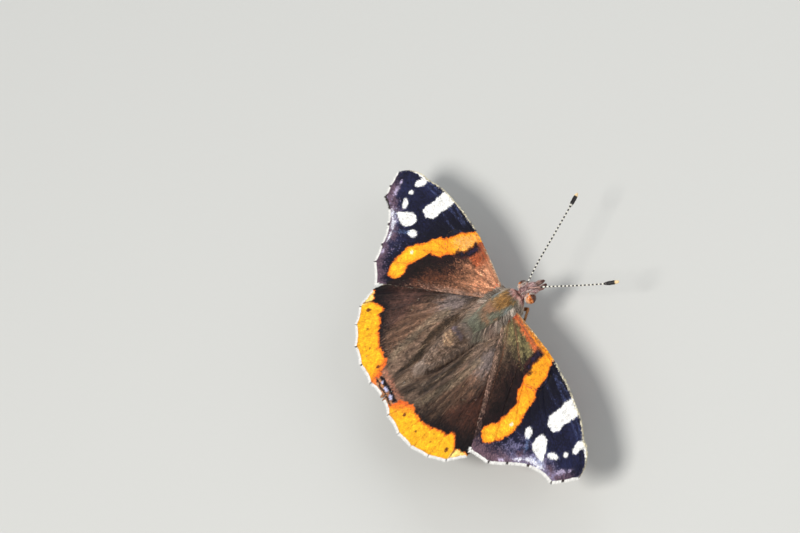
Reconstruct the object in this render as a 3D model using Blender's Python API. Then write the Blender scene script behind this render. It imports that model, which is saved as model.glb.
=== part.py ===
"""Red admiral butterfly, Vanessa atalanta, life size, basking with all four wings spread flat.

Lengths are in millimetres and become metres where a mesh is made. A place is given as
(out, back, up): out from the midline, back behind the wing roots, up over the floor.
The head points to -Y and the insect's own left side is +X.
"""

import math

import bmesh
import bpy
from mathutils import Matrix, Vector
from mathutils.geometry import delaunay_2d_cdt

MM = 0.001
LEFT = 1
RIGHT = -1
SIDES = {"left": LEFT, "right": RIGHT}

# The gap that keeps neighbouring pieces apart where they meet face to face.
GAP = 0.3
# The whole insect hangs on one empty, which puts the middle of its footprint at the origin.
HOLDER = "red_admiral"
BACK_SHIFT = -3.737
WING_LEVEL = 8.0

# The wings, thick enough to stay solid at this size.
WING_THICKNESS = 0.5
WING_CAMBER = 0.35
WING_DROOP = 0.35
WING_SPAN = 30.0
# The tips curl up a little from this far out.
TIP_RISE = 0.65
TIP_STARTS = 23.0
TIP_SPAN = 11.0
HINDWING_DROP = 0.95

# The hollow that both hindwings form under the abdomen.
TROUGH_DEPTH = 1.75
TROUGH_HALF_WIDTH = 3.2
TROUGH_STARTS = (2.0, 7.0)
TROUGH_ENDS = (13.0, 19.0)

# Behind the forewing's rear edge the hindwing stands a little higher.
REAR_LIFT = 0.3
REAR_LIFT_SPAN = (0.5, 4.0)

# Steps between the points of a wing's edge, and how near two of them may lie.
EDGE_STEP = 2.5
EDGE_MERGE = 0.2
HOLLOW_STEPS = 4
ROOT_STEPS = 4
# A place well inside both wings, which tells the way a hollow of the margin faces.
WING_MIDDLE = (8.0, 8.0)

# Veins stand up from the membrane on both faces and thin out towards the margin.
VEIN_HALF_WIDTH = 0.34
VEIN_HEIGHT_AT_ROOT = 0.2
VEIN_HEIGHT_AT_MARGIN = 0.09
VEIN_HEIGHT_BELOW = 0.08
VEIN_STEP = 2.2
VEIN_CLEAR_OF_MARGIN = 0.3
VEIN_CROWDED = 0.45
NET_MERGE = 1e-4

MEMBRANE_STEP = 3.2
MEMBRANE_CLEAR_OF_LINES = 1.1

# Forewing outline as (out, back): the front edge, then each vein end of the outer margin
# with the depth of the hollow that follows it.
FOREWING_FRONT = ((2.9, -0.35), (5.2, -0.6), (9.0, -1.0), (14.0, -1.32), (19.0, -1.1), (24.0, -0.45),
                  (26.3, 0.1), (28.4, 0.9), (30.0, 1.25), (31.3, 1.85), (32.6, 2.85), (33.6, 4.5))
FOREWING_MARGIN = ((33.6, 4.5, 0.0), (32.4, 6.6, 0.0), (31.2, 8.2, 0.36), (26.4, 9.8, 0.12),
                   (23.95, 12.15, 0.04), (21.9, 14.4, 0.03), (18.35, 15.75, 0.0))
FOREWING_REAR = ((18.35, 15.75), (15.2, 13.0), (9.5, 8.2), (5.2, 4.6), (2.9, 2.5))
FOREWING_ROOT = (2.5, -0.35)

HINDWING_FRONT = ((3.1, 2.35), (7.0, 3.3), (11.0, 6.0), (14.8, 10.0), (17.2, 13.8), (18.15, 16.8))
HINDWING_MARGIN = ((18.15, 16.8, 0.02), (16.85, 19.65, 0.1), (14.25, 21.6, 0.1), (10.8, 23.2, 0.14),
                   (7.4, 23.9, 0.2), (3.45, 23.95, 0.16), (0.6, 23.35, 0.0))
HINDWING_REAR = ((0.2, 23.1), (0.17, 18.0), (0.17, 13.5), (0.3, 10.8), (0.75, 8.6), (1.7, 6.8))
HINDWING_ROOT = (6.1, 2.35)

# Main veins as (out, back), from the root or from the vein that each leaves.
FOREWING_VEINS = (
    ((3.2, -0.1), (8.0, -0.55), (13.0, -0.85), (17.5, -1.0)),
    ((3.3, 0.15), (9.0, -0.1), (15.0, -0.3), (20.5, -0.45), (24.5, -0.1)),
    ((15.0, -0.3), (20.0, 0.35), (25.0, 1.2), (29.0, 2.0), (32.6, 3.8)),
    ((20.0, 0.35), (24.4, 0.35), (28.6, 1.25)),
    ((16.6, 1.5), (21.3, 1.85), (25.0, 2.35), (28.8, 3.4), (32.8, 5.0)),
    ((16.7, 2.1), (20.0, 3.4), (23.6, 4.3), (28.0, 5.0), (31.9, 6.25)),
    ((16.4, 2.9), (20.0, 4.3), (23.7, 5.15), (26.6, 6.1), (30.6, 7.8)),
    ((13.9, 3.9), (17.5, 4.8), (23.2, 7.6), (26.2, 9.4)),
    ((13.9, 3.9), (16.3, 6.1), (20.4, 9.1), (23.7, 11.8)),
    ((10.2, 2.9), (13.5, 6.2), (17.2, 9.9), (21.7, 14.0)),
    ((3.4, 0.75), (7.0, 1.8), (10.2, 2.9), (13.9, 3.9), (16.4, 2.9), (16.6, 1.5), (15.0, -0.3)),
    ((3.4, 1.5), (8.0, 5.0), (13.0, 9.8), (18.2, 15.1)),
)
HINDWING_VEINS = (
    ((3.6, 3.0), (7.0, 4.2), (12.0, 8.1), (16.1, 13.0), (17.8, 16.2)),
    ((3.5, 3.6), (6.8, 6.0), (10.2, 9.4), (14.6, 13.9), (17.5, 17.6)),
    ((10.2, 9.4), (10.8, 10.8), (13.6, 14.4), (15.9, 17.4), (16.8, 19.1)),
    ((10.8, 10.8), (10.6, 12.2), (12.6, 16.6), (14.1, 21.0)),
    ((10.6, 12.2), (9.0, 13.4), (10.3, 18.0), (10.95, 22.6)),
    ((3.3, 4.6), (5.6, 8.2), (7.8, 11.8), (9.0, 13.4)),
    ((7.8, 11.8), (8.0, 17.5), (7.7, 23.4)),
    ((5.6, 8.2), (5.1, 14.0), (4.2, 20.0), (3.5, 23.5)),
    ((2.95, 5.6), (2.3, 11.0), (1.5, 17.5), (0.9, 22.6)),
)

# Body sections as (back, half width, top, bottom), heights counted from the wing level.
THORAX_SECTIONS = (
    (-1.55, 1.35, 0.35, -1.9),
    (-1.25, 1.9, 0.75, -2.35),
    (-0.6, 2.45, 1.05, -3.1),
    (0.9, 2.85, 1.2, -4.0),
    (2.6, 2.9, 1.2, -3.9),
    (4.4, 2.6, 1.15, -3.2),
    (6.0, 2.1, 1.05, -2.4),
    (6.5, 1.75, 0.95, -2.1),
)
THORAX_WAIST = -0.6
ABDOMEN_SECTIONS = (
    (6.8, 1.6, 0.95, -1.85),
    (7.3, 1.95, 1.3, -1.95),
    (9.0, 2.25, 1.7, -1.8),
    (11.0, 2.1, 1.6, -1.65),
    (13.0, 1.65, 1.25, -1.4),
    (15.0, 1.05, 0.8, -1.0),
    (16.3, 0.5, 0.35, -0.6),
)
ABDOMEN_RINGS = 7
ABDOMEN_RING_DEPTH = 0.08
# Where each segment has its cross sections, as shares of its length. The groove is at its start.
ABDOMEN_RING_PLACES = (0.35, 0.8, 1.0)
HEAD_SECTIONS = (
    (-1.85, 0.85, -0.2, -1.9),
    (-2.1, 0.92, 0.05, -2.05),
    (-2.7, 0.95, 0.2, -2.15),
    (-3.4, 0.95, 0.0, -2.1),
    (-3.95, 0.85, -0.35, -2.0),
    (-4.15, 0.68, -0.6, -1.85),
)
BODY_SIDES = 20

# The head is held tilted, its left side higher, and turned a little to its right.
HEAD_PIVOT = Vector((0.0, -1.7, WING_LEVEL - 1.0))
HEAD_TURN = Matrix.Rotation(math.radians(-3.0), 3, "Z") @ Matrix.Rotation(math.radians(-8.0), 3, "Y")
HEAD_LIFT = Vector((0.0, 0.0, 0.15))

EYE_PLACE = (0.95 + GAP, -2.8, -1.0)
EYE_DOME = 0.75
EYE_RADIUS = 0.88
EYE_SIDES = 16
EYE_RINGS = 5
# How far the last ring stops short of the pole of the dome, in ring steps.
EYE_FLAT = 0.4

# Feelers as (out, back, up from the wing level), with the club at the far end. The root is on
# the untilted head, and the rest of the way is where the feeler is held.
ANTENNA_ROOT = (0.48, -3.5, 0.34)
ANTENNA_ROUTES = {
    "left": ((0.72, -4.15, 0.45), (2.2, -6.65, 0.35), (4.42, -10.3, 0.15),
             (6.95, -14.2, -0.1), (8.35, -16.15, -0.3)),
    "right": ((0.78, -4.1, 0.25), (2.3, -6.0, 0.1), (4.95, -9.25, -0.15),
              (7.6, -12.75, -0.4), (8.9, -14.5, -0.5)),
}
ANTENNA_RADIUS = 0.25
CLUB_RADIUS = 0.42
CLUB_STARTS = 0.79
CLUB_FULL = 0.88
CLUB_POINT = 0.25
ANTENNA_STEP = 1.2
ANTENNA_SIDES = 8
# The way the feeler's root faces away from the top of the head.
ANTENNA_SEAT = Vector((0.0, -0.2, 1.0)).normalized()

# A palp's route as (out, back, up from the wing level, radius).
PALP_ROUTE = ((0.44, -4.45, -1.4, 0.37), (0.46, -4.8, -1.55, 0.4), (0.44, -5.15, -1.65, 0.3),
              (0.4, -5.5, -1.7, 0.16))
PALP_SIDES = 10
PALP_STEP = 0.4

# The coiled tongue, a ring in the midplane under the head.
TONGUE_CENTRE = (0.0, -2.6, -3.05)
TONGUE_RING = 0.38
TONGUE_RADIUS = 0.25
TONGUE_SIDES = 8
TONGUE_STEPS = 14

# The middle of a foot runs this high, so that its underside is cut flat by the floor.
FOOT_LEVEL = 0.17

# Legs: root on the thorax as (back, degrees under the horizontal), then the end of each part
# from the coxa to the toe as (out, back, up over the floor, radius).
LEG_ROOTS = {
    "leg_fore": (-0.6, 62.0, 0.34),
    "leg_mid": (1.2, 60.0, 0.5),
    "leg_hind": (4.0, 58.0, 0.5),
}
LEG_PARTS = {
    "leg_fore": ((1.4, -1.25, 4.85, 0.31), (1.55, -1.5, 5.8, 0.26), (2.6, -0.35, 5.6, 0.25),
                 (2.9, 0.6, 5.0, 0.18)),
    "leg_mid": ((2.0, 1.6, 3.0, 0.46), (6.0, 2.1, 4.9, 0.34), (8.5, 2.2, 0.8, 0.3),
                (9.1, 2.15, FOOT_LEVEL, 0.3), (11.6, 1.9, FOOT_LEVEL, 0.3)),
    "leg_hind": ((1.9, 4.6, 3.5, 0.46), (4.6, 8.9, 4.6, 0.34), (5.6, 13.0, 0.8, 0.3),
                 (5.9, 14.0, FOOT_LEVEL, 0.3), (7.0, 17.2, FOOT_LEVEL, 0.3)),
}
LEG_SIDES = 10
LEG_STEP = 1.3

COLOURS = {
    "forewing": (0.10, 0.05, 0.04),
    "hindwing": (0.16, 0.08, 0.05),
    "body": (0.20, 0.13, 0.08),
    "abdomen": (0.16, 0.10, 0.06),
    "head": (0.30, 0.22, 0.20),
    "eye": (0.36, 0.13, 0.04),
    "feeler": (0.05, 0.045, 0.045),
    "palp": (0.28, 0.19, 0.16),
    "tongue": (0.30, 0.16, 0.07),
    "leg": (0.25, 0.14, 0.07),
}
ROUGHNESS = {"eye": 0.15, "feeler": 0.5}
PLAIN_ROUGHNESS = 0.8
SHARP_DEGREES = 30.0


def smoothstep(low, high, value):
    t = min(max((value - low) / (high - low), 0.0), 1.0)
    return t * t * (3.0 - 2.0 * t)


def spline_point(points, position):
    """A point of the smooth curve through the given points, at position 0 to len(points) - 1."""
    last = len(points) - 1
    start = min(int(position), last - 1)
    t = position - start
    p0 = Vector(points[max(start - 1, 0)])
    p1 = Vector(points[start])
    p2 = Vector(points[start + 1])
    p3 = Vector(points[min(start + 2, last)])
    return 0.5 * (2.0 * p1 + (p2 - p0) * t + (2.0 * p0 - 5.0 * p1 + 4.0 * p2 - p3) * t * t
                  + (3.0 * p1 - p0 - 3.0 * p2 + p3) * t * t * t)


def spline(points, step):
    """The smooth curve through the given points, with a point about every step."""
    curve = [Vector(points[0])]
    for start in range(len(points) - 1):
        length = (Vector(points[start + 1]) - Vector(points[start])).length
        count = max(1, round(length / step))
        for i in range(1, count + 1):
            curve.append(spline_point(points, start + i / count))
    return curve


def distance_to_line(point, line):
    """Distance from a flat point to a polyline."""
    nearest = math.inf
    for start, end in zip(line, line[1:]):
        run = end - start
        t = min(max((point - start).dot(run) / run.length_squared, 0.0), 1.0)
        nearest = min(nearest, (point - start - run * t).length)
    return nearest


def inside(point, outline):
    """Whether a flat point lies inside a closed outline."""
    crossings = 0
    for a, b in zip(outline, outline[1:] + outline[:1]):
        if (a.y > point.y) != (b.y > point.y):
            crossings += point.x < a.x + (point.y - a.y) * (b.x - a.x) / (b.y - a.y)
    return crossings % 2 == 1


def make_material(name):
    material = bpy.data.materials.new(name)
    material.use_nodes = True
    shader = material.node_tree.nodes["Principled BSDF"]
    shader.inputs["Base Color"].default_value = (*COLOURS[name], 1.0)
    shader.inputs["Roughness"].default_value = ROUGHNESS.get(name, PLAIN_ROUGHNESS)
    return material


def add_object(name, points, faces, material):
    """One mesh object from places (out to the left, back, up) and faces."""
    mesh = bpy.data.meshes.new(name)
    mesh.from_pydata([(x * MM, y * MM, z * MM) for x, y, z in points], [], faces)
    solid = bmesh.new()
    solid.from_mesh(mesh)
    bmesh.ops.recalc_face_normals(solid, faces=solid.faces)
    solid.to_mesh(mesh)
    solid.free()
    mesh.materials.append(material)
    mesh.shade_smooth()
    mesh.set_sharp_from_angle(angle=math.radians(SHARP_DEGREES))
    obj = bpy.data.objects.new(name, mesh)
    bpy.context.scene.collection.objects.link(obj)
    obj.parent = bpy.data.objects[HOLDER]


def loft(name, rings, material):
    """A closed solid through rings of equal count, with a flat face at each end."""
    sides = len(rings[0])
    points = [point for ring in rings for point in ring]
    faces = [tuple(range(sides)), tuple(range(len(points) - sides, len(points)))]
    for start in range(0, len(points) - sides, sides):
        for i in range(sides):
            j = (i + 1) % sides
            faces.append((start + i, start + j, start + sides + j, start + sides + i))
    add_object(name, points, faces, material)


def tube(name, path, radii, sides, material, side=LEFT, floor=None, start_face=None):
    """A round limb along a path. It is flattened where it would pass under the floor."""
    rings = []
    across = Vector((0.0, 0.0, 1.0))
    for index, centre in enumerate(path):
        before = path[max(index - 1, 0)]
        after = path[min(index + 1, len(path) - 1)]
        run = (after - before).normalized()
        if index == 0 and start_face:
            run = start_face
        across = (across - run * across.dot(run)).normalized()
        third = run.cross(across)
        ring = []
        for i in range(sides):
            angle = 2.0 * math.pi * (i + 0.5) / sides
            offset = across * math.cos(angle) + third * math.sin(angle)
            place = centre + offset * radii[index]
            if floor is not None:
                place.z = max(place.z, floor)
            ring.append((place.x * side, place.y, place.z))
        rings.append(ring)
    loft(name, rings, material)


def section_at(sections, back):
    """Half width, top and bottom of the body at one place along it."""
    last = len(sections) - 1
    ordered = sorted(sections)
    index = 0
    while index < last - 1 and back > ordered[index + 1][0]:
        index += 1
    t = (back - ordered[index][0]) / (ordered[index + 1][0] - ordered[index][0])
    return spline_point(tuple(section[1:] for section in ordered), index + min(max(t, 0.0), 1.0))


def section_ring(width, top, bottom, back, waist=None, sides=BODY_SIDES):
    """An egg-shaped ring of the body, widest at the waist's height."""
    if waist is None:
        waist = 0.5 * (top + bottom)
    ring = []
    for i in range(sides):
        angle = 2.0 * math.pi * (i + 0.5) / sides
        reach = top - waist if math.sin(angle) > 0.0 else waist - bottom
        ring.append((width * math.cos(angle), back, WING_LEVEL + waist + reach * math.sin(angle)))
    return ring


def make_thorax(material):
    rings = []
    for back, width, top, bottom in THORAX_SECTIONS:
        rings.append(section_ring(width, top, bottom, back, THORAX_WAIST))
    loft("thorax", rings, material)


def make_head(material):
    rings = []
    for back, width, top, bottom in HEAD_SECTIONS:
        rings.append(turned(section_ring(width, top, bottom, back)))
    loft("head", rings, material)


def make_abdomen(material):
    """The abdomen, with a shallow groove between its segments."""
    front = ABDOMEN_SECTIONS[0][0]
    length = ABDOMEN_SECTIONS[-1][0] - front
    places = [front]
    for ring in range(ABDOMEN_RINGS):
        start = front + length * ring / ABDOMEN_RINGS
        for share in ABDOMEN_RING_PLACES:
            places.append(start + share * length / ABDOMEN_RINGS)
    rings = []
    for index, back in enumerate(places):
        width, top, bottom = section_at(ABDOMEN_SECTIONS, back)
        at_joint = index % len(ABDOMEN_RING_PLACES) == 0 and 0 < index < len(places) - 1
        groove = ABDOMEN_RING_DEPTH if at_joint else 0.0
        rings.append(section_ring(width - groove, top - groove, bottom + groove, back))
    loft("abdomen", rings, material)


def make_eye(name, side, material):
    """A dome that meets the flat side of the head."""
    out, back, level = EYE_PLACE
    rings = []
    for step in range(EYE_RINGS + 1):
        rise = 0.5 * math.pi * step / (EYE_RINGS + EYE_FLAT)
        radius = EYE_RADIUS * math.cos(rise)
        reach = out + EYE_DOME * math.sin(rise)
        ring = []
        for i in range(EYE_SIDES):
            angle = 2.0 * math.pi * i / EYE_SIDES
            ring.append((side * reach, back + radius * math.cos(angle),
                         WING_LEVEL + level + radius * math.sin(angle)))
        rings.append(turned(ring))
    loft(name, rings, material)


def lifted(route, side=LEFT):
    """A route given from the wing level, as places over the floor."""
    return [Vector((side * out, back, up + WING_LEVEL)) for out, back, up in route]


def turned(places):
    """Places of the straight head, as they are in its held pose."""
    return [HEAD_PIVOT + HEAD_LIFT + HEAD_TURN @ (Vector(place) - HEAD_PIVOT) for place in places]


def make_antenna(name, side, route, material):
    """A thin feeler that swells into a club and ends in a small point."""
    root = turned(lifted([ANTENNA_ROOT], side))
    path = spline(root + lifted(route, side), ANTENNA_STEP)
    path.append(path[-1] + (path[-1] - path[-2]).normalized() * CLUB_POINT)
    last = len(path) - 2
    radii = []
    for index in range(last + 1):
        swelling = smoothstep(CLUB_STARTS, CLUB_FULL, index / last)
        radii.append(ANTENNA_RADIUS + (CLUB_RADIUS - ANTENNA_RADIUS) * swelling)
    radii.append(0.5 * CLUB_RADIUS)
    tube(name, path, radii, ANTENNA_SIDES, material, start_face=HEAD_TURN @ ANTENNA_SEAT)


def make_palp(name, side, material):
    sized = spline(PALP_ROUTE, PALP_STEP)
    path = turned(lifted((point.xyz for point in sized), side))
    tube(name, path, [point.w for point in sized], PALP_SIDES, material)


def make_tongue(name, material):
    """The coiled tongue as one ring of its outer size, closed on itself."""
    out, back, level = TONGUE_CENTRE
    points = []
    faces = []
    for step in range(TONGUE_STEPS):
        turn = 2.0 * math.pi * step / TONGUE_STEPS
        for i in range(TONGUE_SIDES):
            angle = 2.0 * math.pi * i / TONGUE_SIDES
            reach = TONGUE_RING + TONGUE_RADIUS * math.cos(angle)
            points.append((out + TONGUE_RADIUS * math.sin(angle), back + reach * math.cos(turn),
                           WING_LEVEL + level + reach * math.sin(turn)))
            after = (step + 1) % TONGUE_STEPS * TONGUE_SIDES
            j = (i + 1) % TONGUE_SIDES
            faces.append((step * TONGUE_SIDES + i, step * TONGUE_SIDES + j, after + j, after + i))
    add_object(name, turned(points), faces, material)


def thorax_side(back, level):
    """Half width of the thorax at one place along it and one height from the wing level."""
    width, top, bottom = section_at(THORAX_SECTIONS, back)
    reach = top - THORAX_WAIST if level > THORAX_WAIST else THORAX_WAIST - bottom
    return width * math.sqrt(max(1.0 - ((level - THORAX_WAIST) / reach) ** 2, 0.0))


def make_leg(kind, name, side, material):
    """Coxa, thigh, shank and foot in one run. The root faces the thorax squarely."""
    back, under, root_radius = LEG_ROOTS[kind]
    width, _, bottom = section_at(THORAX_SECTIONS, back)
    reach = THORAX_WAIST - bottom
    angle = math.radians(under)
    skin = Vector((width * math.cos(angle), back, WING_LEVEL + THORAX_WAIST - reach * math.sin(angle)))
    facing = Vector((math.cos(angle) / width, 0.0, -math.sin(angle) / reach)).normalized()
    root = skin + facing * GAP
    corners = [Vector((*root, root_radius))] + [Vector(end) for end in LEG_PARTS[kind]]
    sized = [corners[0]]
    for start, end in zip(corners, corners[1:]):
        count = max(1, round((end.xyz - start.xyz).length / LEG_STEP))
        sized += [start.lerp(end, i / count) for i in range(1, count + 1)]
    path = [point.xyz for point in sized]
    tube(name, path, [point.w for point in sized], LEG_SIDES, material, side, 0.0, facing)


def margin_line(vein_ends):
    """The outer margin: a shallow hollow between each vein end and the next."""
    line = []
    centre = Vector(WING_MIDDLE)
    for (x0, y0, depth), (x1, y1, _) in zip(vein_ends, vein_ends[1:]):
        start = Vector((x0, y0))
        run = Vector((x1, y1)) - start
        inward = Vector((-run.y, run.x)).normalized()
        if inward.dot(centre - start) < 0.0:
            inward.negate()
        for i in range(HOLLOW_STEPS):
            t = i / HOLLOW_STEPS
            line.append(start + run * t + inward * depth * math.sin(math.pi * t))
    line.append(Vector(vein_ends[-1][:2]))
    return line


def root_line(start, end, level):
    """The edge that meets the thorax, from one place along it to another."""
    line = []
    for i in range(ROOT_STEPS + 1):
        back = start + (end - start) * i / ROOT_STEPS
        line.append(Vector((thorax_side(back, level) + GAP, back)))
    return line


def closed_outline(*lines):
    """Lines joined end to end into one outline, without points that repeat."""
    outline = []
    for line in lines:
        for point in line:
            if not outline or (point - outline[-1]).length > EDGE_MERGE:
                outline.append(point)
    if (outline[0] - outline[-1]).length < EDGE_MERGE:
        outline.pop()
    return outline


def forewing_height(out, back):
    """Height of the forewing's middle surface over the floor."""
    share = out / WING_SPAN
    arch = WING_CAMBER * math.sin(math.pi * min(share, 1.0)) - WING_DROOP * share * share
    return WING_LEVEL + arch + TIP_RISE * (max(out - TIP_STARTS, 0.0) / TIP_SPAN) ** 1.6


def hindwing_height(out, back):
    """The hindwing lies under the forewing and sinks into a trough beside the body."""
    along = smoothstep(*TROUGH_STARTS, back) * (1.0 - smoothstep(*TROUGH_ENDS, back))
    across = 1.0 - smoothstep(0.0, TROUGH_HALF_WIDTH, out)
    behind = 0.766 * (back - 4.6) - 0.643 * (out - 5.2)
    by_body = (1.0 - smoothstep(2.5, 5.5, out)) * (1.0 - smoothstep(17.0, 20.0, back))
    lift = REAR_LIFT * smoothstep(*REAR_LIFT_SPAN, behind) * (1.0 - by_body)
    return forewing_height(out, back) - HINDWING_DROP - TROUGH_DEPTH * along * across + lift


def vein_feet(vein, others, outline):
    """The lines along both sides of a vein, broken where they would meet another vein or the margin."""
    ring = outline + outline[:1]
    runs = []
    for turn in (1.0, -1.0):
        run = []
        for index, centre in enumerate(vein):
            heading = vein[min(index + 1, len(vein) - 1)] - vein[max(index - 1, 0)]
            place = centre + Vector((-heading.y, heading.x)).normalized() * VEIN_HALF_WIDTH * turn
            clear = distance_to_line(place, ring) > VEIN_CLEAR_OF_MARGIN and inside(place, outline)
            crowded = any(distance_to_line(place, line) < VEIN_CROWDED for line in others)
            if clear and not crowded:
                run.append(place)
            else:
                runs.append(run)
                run = []
        runs.append(run)
    return [run for run in runs if run]


def membrane_places(outline, veins):
    """Places spread evenly over the wing between the veins, so that its curve is even."""
    lines = [outline + outline[:1], *veins]
    places = []
    for row in range(-1, int(max(point.y for point in outline) / MEMBRANE_STEP) + 1):
        for column in range(int(max(point.x for point in outline) / MEMBRANE_STEP) + 1):
            place = Vector(((column + 0.5 * (row % 2)) * MEMBRANE_STEP, row * MEMBRANE_STEP))
            nearest = min(distance_to_line(place, line) for line in lines)
            if nearest > MEMBRANE_CLEAR_OF_LINES and inside(place, outline):
                places.append(place)
    return places


def wing_net(outline, veins):
    """Flat points for the wing's triangles, and the lines that the triangles' edges follow."""
    points = list(outline)
    edges = [(i, (i + 1) % len(outline)) for i in range(len(outline))]
    lines = list(veins)
    for number, vein in enumerate(veins):
        lines += vein_feet(vein, veins[:number] + veins[number + 1:], outline)
    for line in lines:
        edges += [(len(points) + i, len(points) + i + 1) for i in range(len(line) - 1)]
        points += line
    points += membrane_places(outline, veins)
    return points, edges


def make_wing(name, side, outline, vein_routes, height, material):
    """A wing of even thickness whose veins stand up in its own surface, on both faces."""
    veins = [spline(route, VEIN_STEP) for route in vein_routes]
    flat, edges = wing_net(outline, veins)
    flat, _, triangles, *_ = delaunay_2d_cdt(flat, edges, [], 1, NET_MERGE)
    count = len(flat)
    upper = []
    lower = []
    for point in flat:
        ridge = 0.0
        for vein in veins:
            ridge = max(ridge, 1.0 - (distance_to_line(point, vein) / VEIN_HALF_WIDTH) ** 2)
        fade = min(point.x / WING_SPAN, 1.0)
        crest = VEIN_HEIGHT_AT_ROOT + (VEIN_HEIGHT_AT_MARGIN - VEIN_HEIGHT_AT_ROOT) * fade
        middle = height(point.x, point.y)
        upper.append((side * point.x, point.y, middle + 0.5 * WING_THICKNESS + crest * ridge))
        lower.append((side * point.x, point.y, middle - 0.5 * WING_THICKNESS - VEIN_HEIGHT_BELOW * ridge))
    used = {}
    faces = []
    for triangle in triangles:
        faces.append(tuple(triangle))
        faces.append(tuple(count + i for i in reversed(triangle)))
        for a, b in zip(triangle, triangle[1:] + triangle[:1]):
            used[frozenset((a, b))] = used.get(frozenset((a, b)), 0) + 1
    for edge, times in used.items():
        if times == 1:
            a, b = edge
            faces.append((a, b, count + b, count + a))
    add_object(name, upper + lower, faces, material)


def forewing_outline():
    front, rear = FOREWING_ROOT[1], FOREWING_ROOT[0]
    return closed_outline(
        spline(FOREWING_FRONT, EDGE_STEP)[1:],
        margin_line(FOREWING_MARGIN),
        spline(FOREWING_REAR, EDGE_STEP)[:-1],
        root_line(rear, front, 0.0),
    )


def hindwing_outline():
    rear, front = HINDWING_ROOT
    return closed_outline(
        spline(HINDWING_FRONT, EDGE_STEP)[1:],
        margin_line(HINDWING_MARGIN),
        spline(HINDWING_REAR, EDGE_STEP)[:-1],
        root_line(rear, front, -HINDWING_DROP),
    )


def clear_scene():
    for obj in list(bpy.data.objects):
        bpy.data.objects.remove(obj, do_unlink=True)


def add_holder():
    holder = bpy.data.objects.new(HOLDER, None)
    holder.location.y = BACK_SHIFT * MM
    bpy.context.scene.collection.objects.link(holder)


def main():
    clear_scene()
    add_holder()
    materials = {name: make_material(name) for name in COLOURS}
    make_thorax(materials["body"])
    make_head(materials["head"])
    make_abdomen(materials["abdomen"])
    make_tongue("tongue", materials["tongue"])
    for word, side in SIDES.items():
        make_eye(f"eye_{word}", side, materials["eye"])
        make_antenna(f"antenna_{word}", side, ANTENNA_ROUTES[word], materials["feeler"])
        make_palp(f"palp_{word}", side, materials["palp"])
        make_wing(f"forewing_{word}", side, forewing_outline(), FOREWING_VEINS, forewing_height,
                  materials["forewing"])
        make_wing(f"hindwing_{word}", side, hindwing_outline(), HINDWING_VEINS, hindwing_height,
                  materials["hindwing"])
        for kind in LEG_ROOTS:
            make_leg(kind, f"{kind}_{word}", side, materials["leg"])


main()
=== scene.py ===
"""The looks of a life-size red admiral butterfly, Vanessa atalanta, basking with its wings spread flat.

Lengths are in millimetres and become metres where a mesh is made. A place is (out, back, up):
out from the midline, back behind the wing roots, up from the level of the wings. The head points
to -Y and the insect's own left side is +X. Colours are sRGB from 0 to 255.
"""

import math

import bpy
import numpy as np
from mathutils import Matrix, Vector
from mathutils.geometry import delaunay_2d_cdt


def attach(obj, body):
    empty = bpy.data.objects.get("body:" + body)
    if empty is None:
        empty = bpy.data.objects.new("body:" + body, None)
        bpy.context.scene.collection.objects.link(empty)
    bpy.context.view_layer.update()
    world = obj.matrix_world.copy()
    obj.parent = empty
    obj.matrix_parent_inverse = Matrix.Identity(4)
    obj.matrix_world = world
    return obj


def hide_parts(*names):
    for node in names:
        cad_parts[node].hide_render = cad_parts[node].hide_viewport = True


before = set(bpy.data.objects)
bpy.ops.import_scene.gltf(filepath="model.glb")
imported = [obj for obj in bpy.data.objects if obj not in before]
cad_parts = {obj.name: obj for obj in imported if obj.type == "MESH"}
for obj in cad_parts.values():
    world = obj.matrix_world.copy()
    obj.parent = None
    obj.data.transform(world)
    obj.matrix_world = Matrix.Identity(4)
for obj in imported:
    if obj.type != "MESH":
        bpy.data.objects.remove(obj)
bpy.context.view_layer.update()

MM = 0.001
SIDES = {"left": 1, "right": -1}
BACK_SHIFT = -3.737
WING_LEVEL = 8.0

# The wing sheets as in the solids. The skins lie inside those, nearer to each other where the
# forewing rests on the hindwing.
WING_CAMBER = 0.35
WING_DROOP = 0.35
WING_SPAN = 30.0
# The tips curl up a little from this far out.
TIP_RISE = 0.65
TIP_STARTS = 23.0
TIP_SPAN = 11.0
HINDWING_DROP = 0.95
TROUGH_DEPTH = 1.75
TROUGH_HALF_WIDTH = 3.2
TROUGH_STARTS = (2.0, 7.0)
TROUGH_ENDS = (13.0, 19.0)
# Behind the forewing's rear edge, which passes through a place and has this direction across it,
# the hindwing lifts, but not beside the body.
REAR_LIFT = 0.3
REAR_LIFT_SPAN = (0.5, 4.0)
REAR_EDGE_AT = (5.2, 4.6)
REAR_EDGE_ACROSS = (-0.643, 0.766)
BODY_SIDE_ENDS = (2.5, 5.5)
BODY_REAR_ENDS = (17.0, 20.0)
FOREWING_SINK = -0.16
HINDWING_RISE = 0.14
MEMBRANE_HALF = 0.05
MEMBRANE_STEP = 0.34
MEMBRANE_ROW = 0.87
EDGE_STEP = 0.3
EDGE_CLEAR = 0.2
SLOPE_STEP = 0.05
# A place well inside both wings, which tells which side of an edge is the wing.
WING_MIDDLE = (10.0, 8.0)

VEIN_RIDGE = 0.13
VEIN_RIDGE_WIDTH = 0.17
PLEAT_DEPTH = 0.1
PLEAT_WIDTH = 0.85

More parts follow.
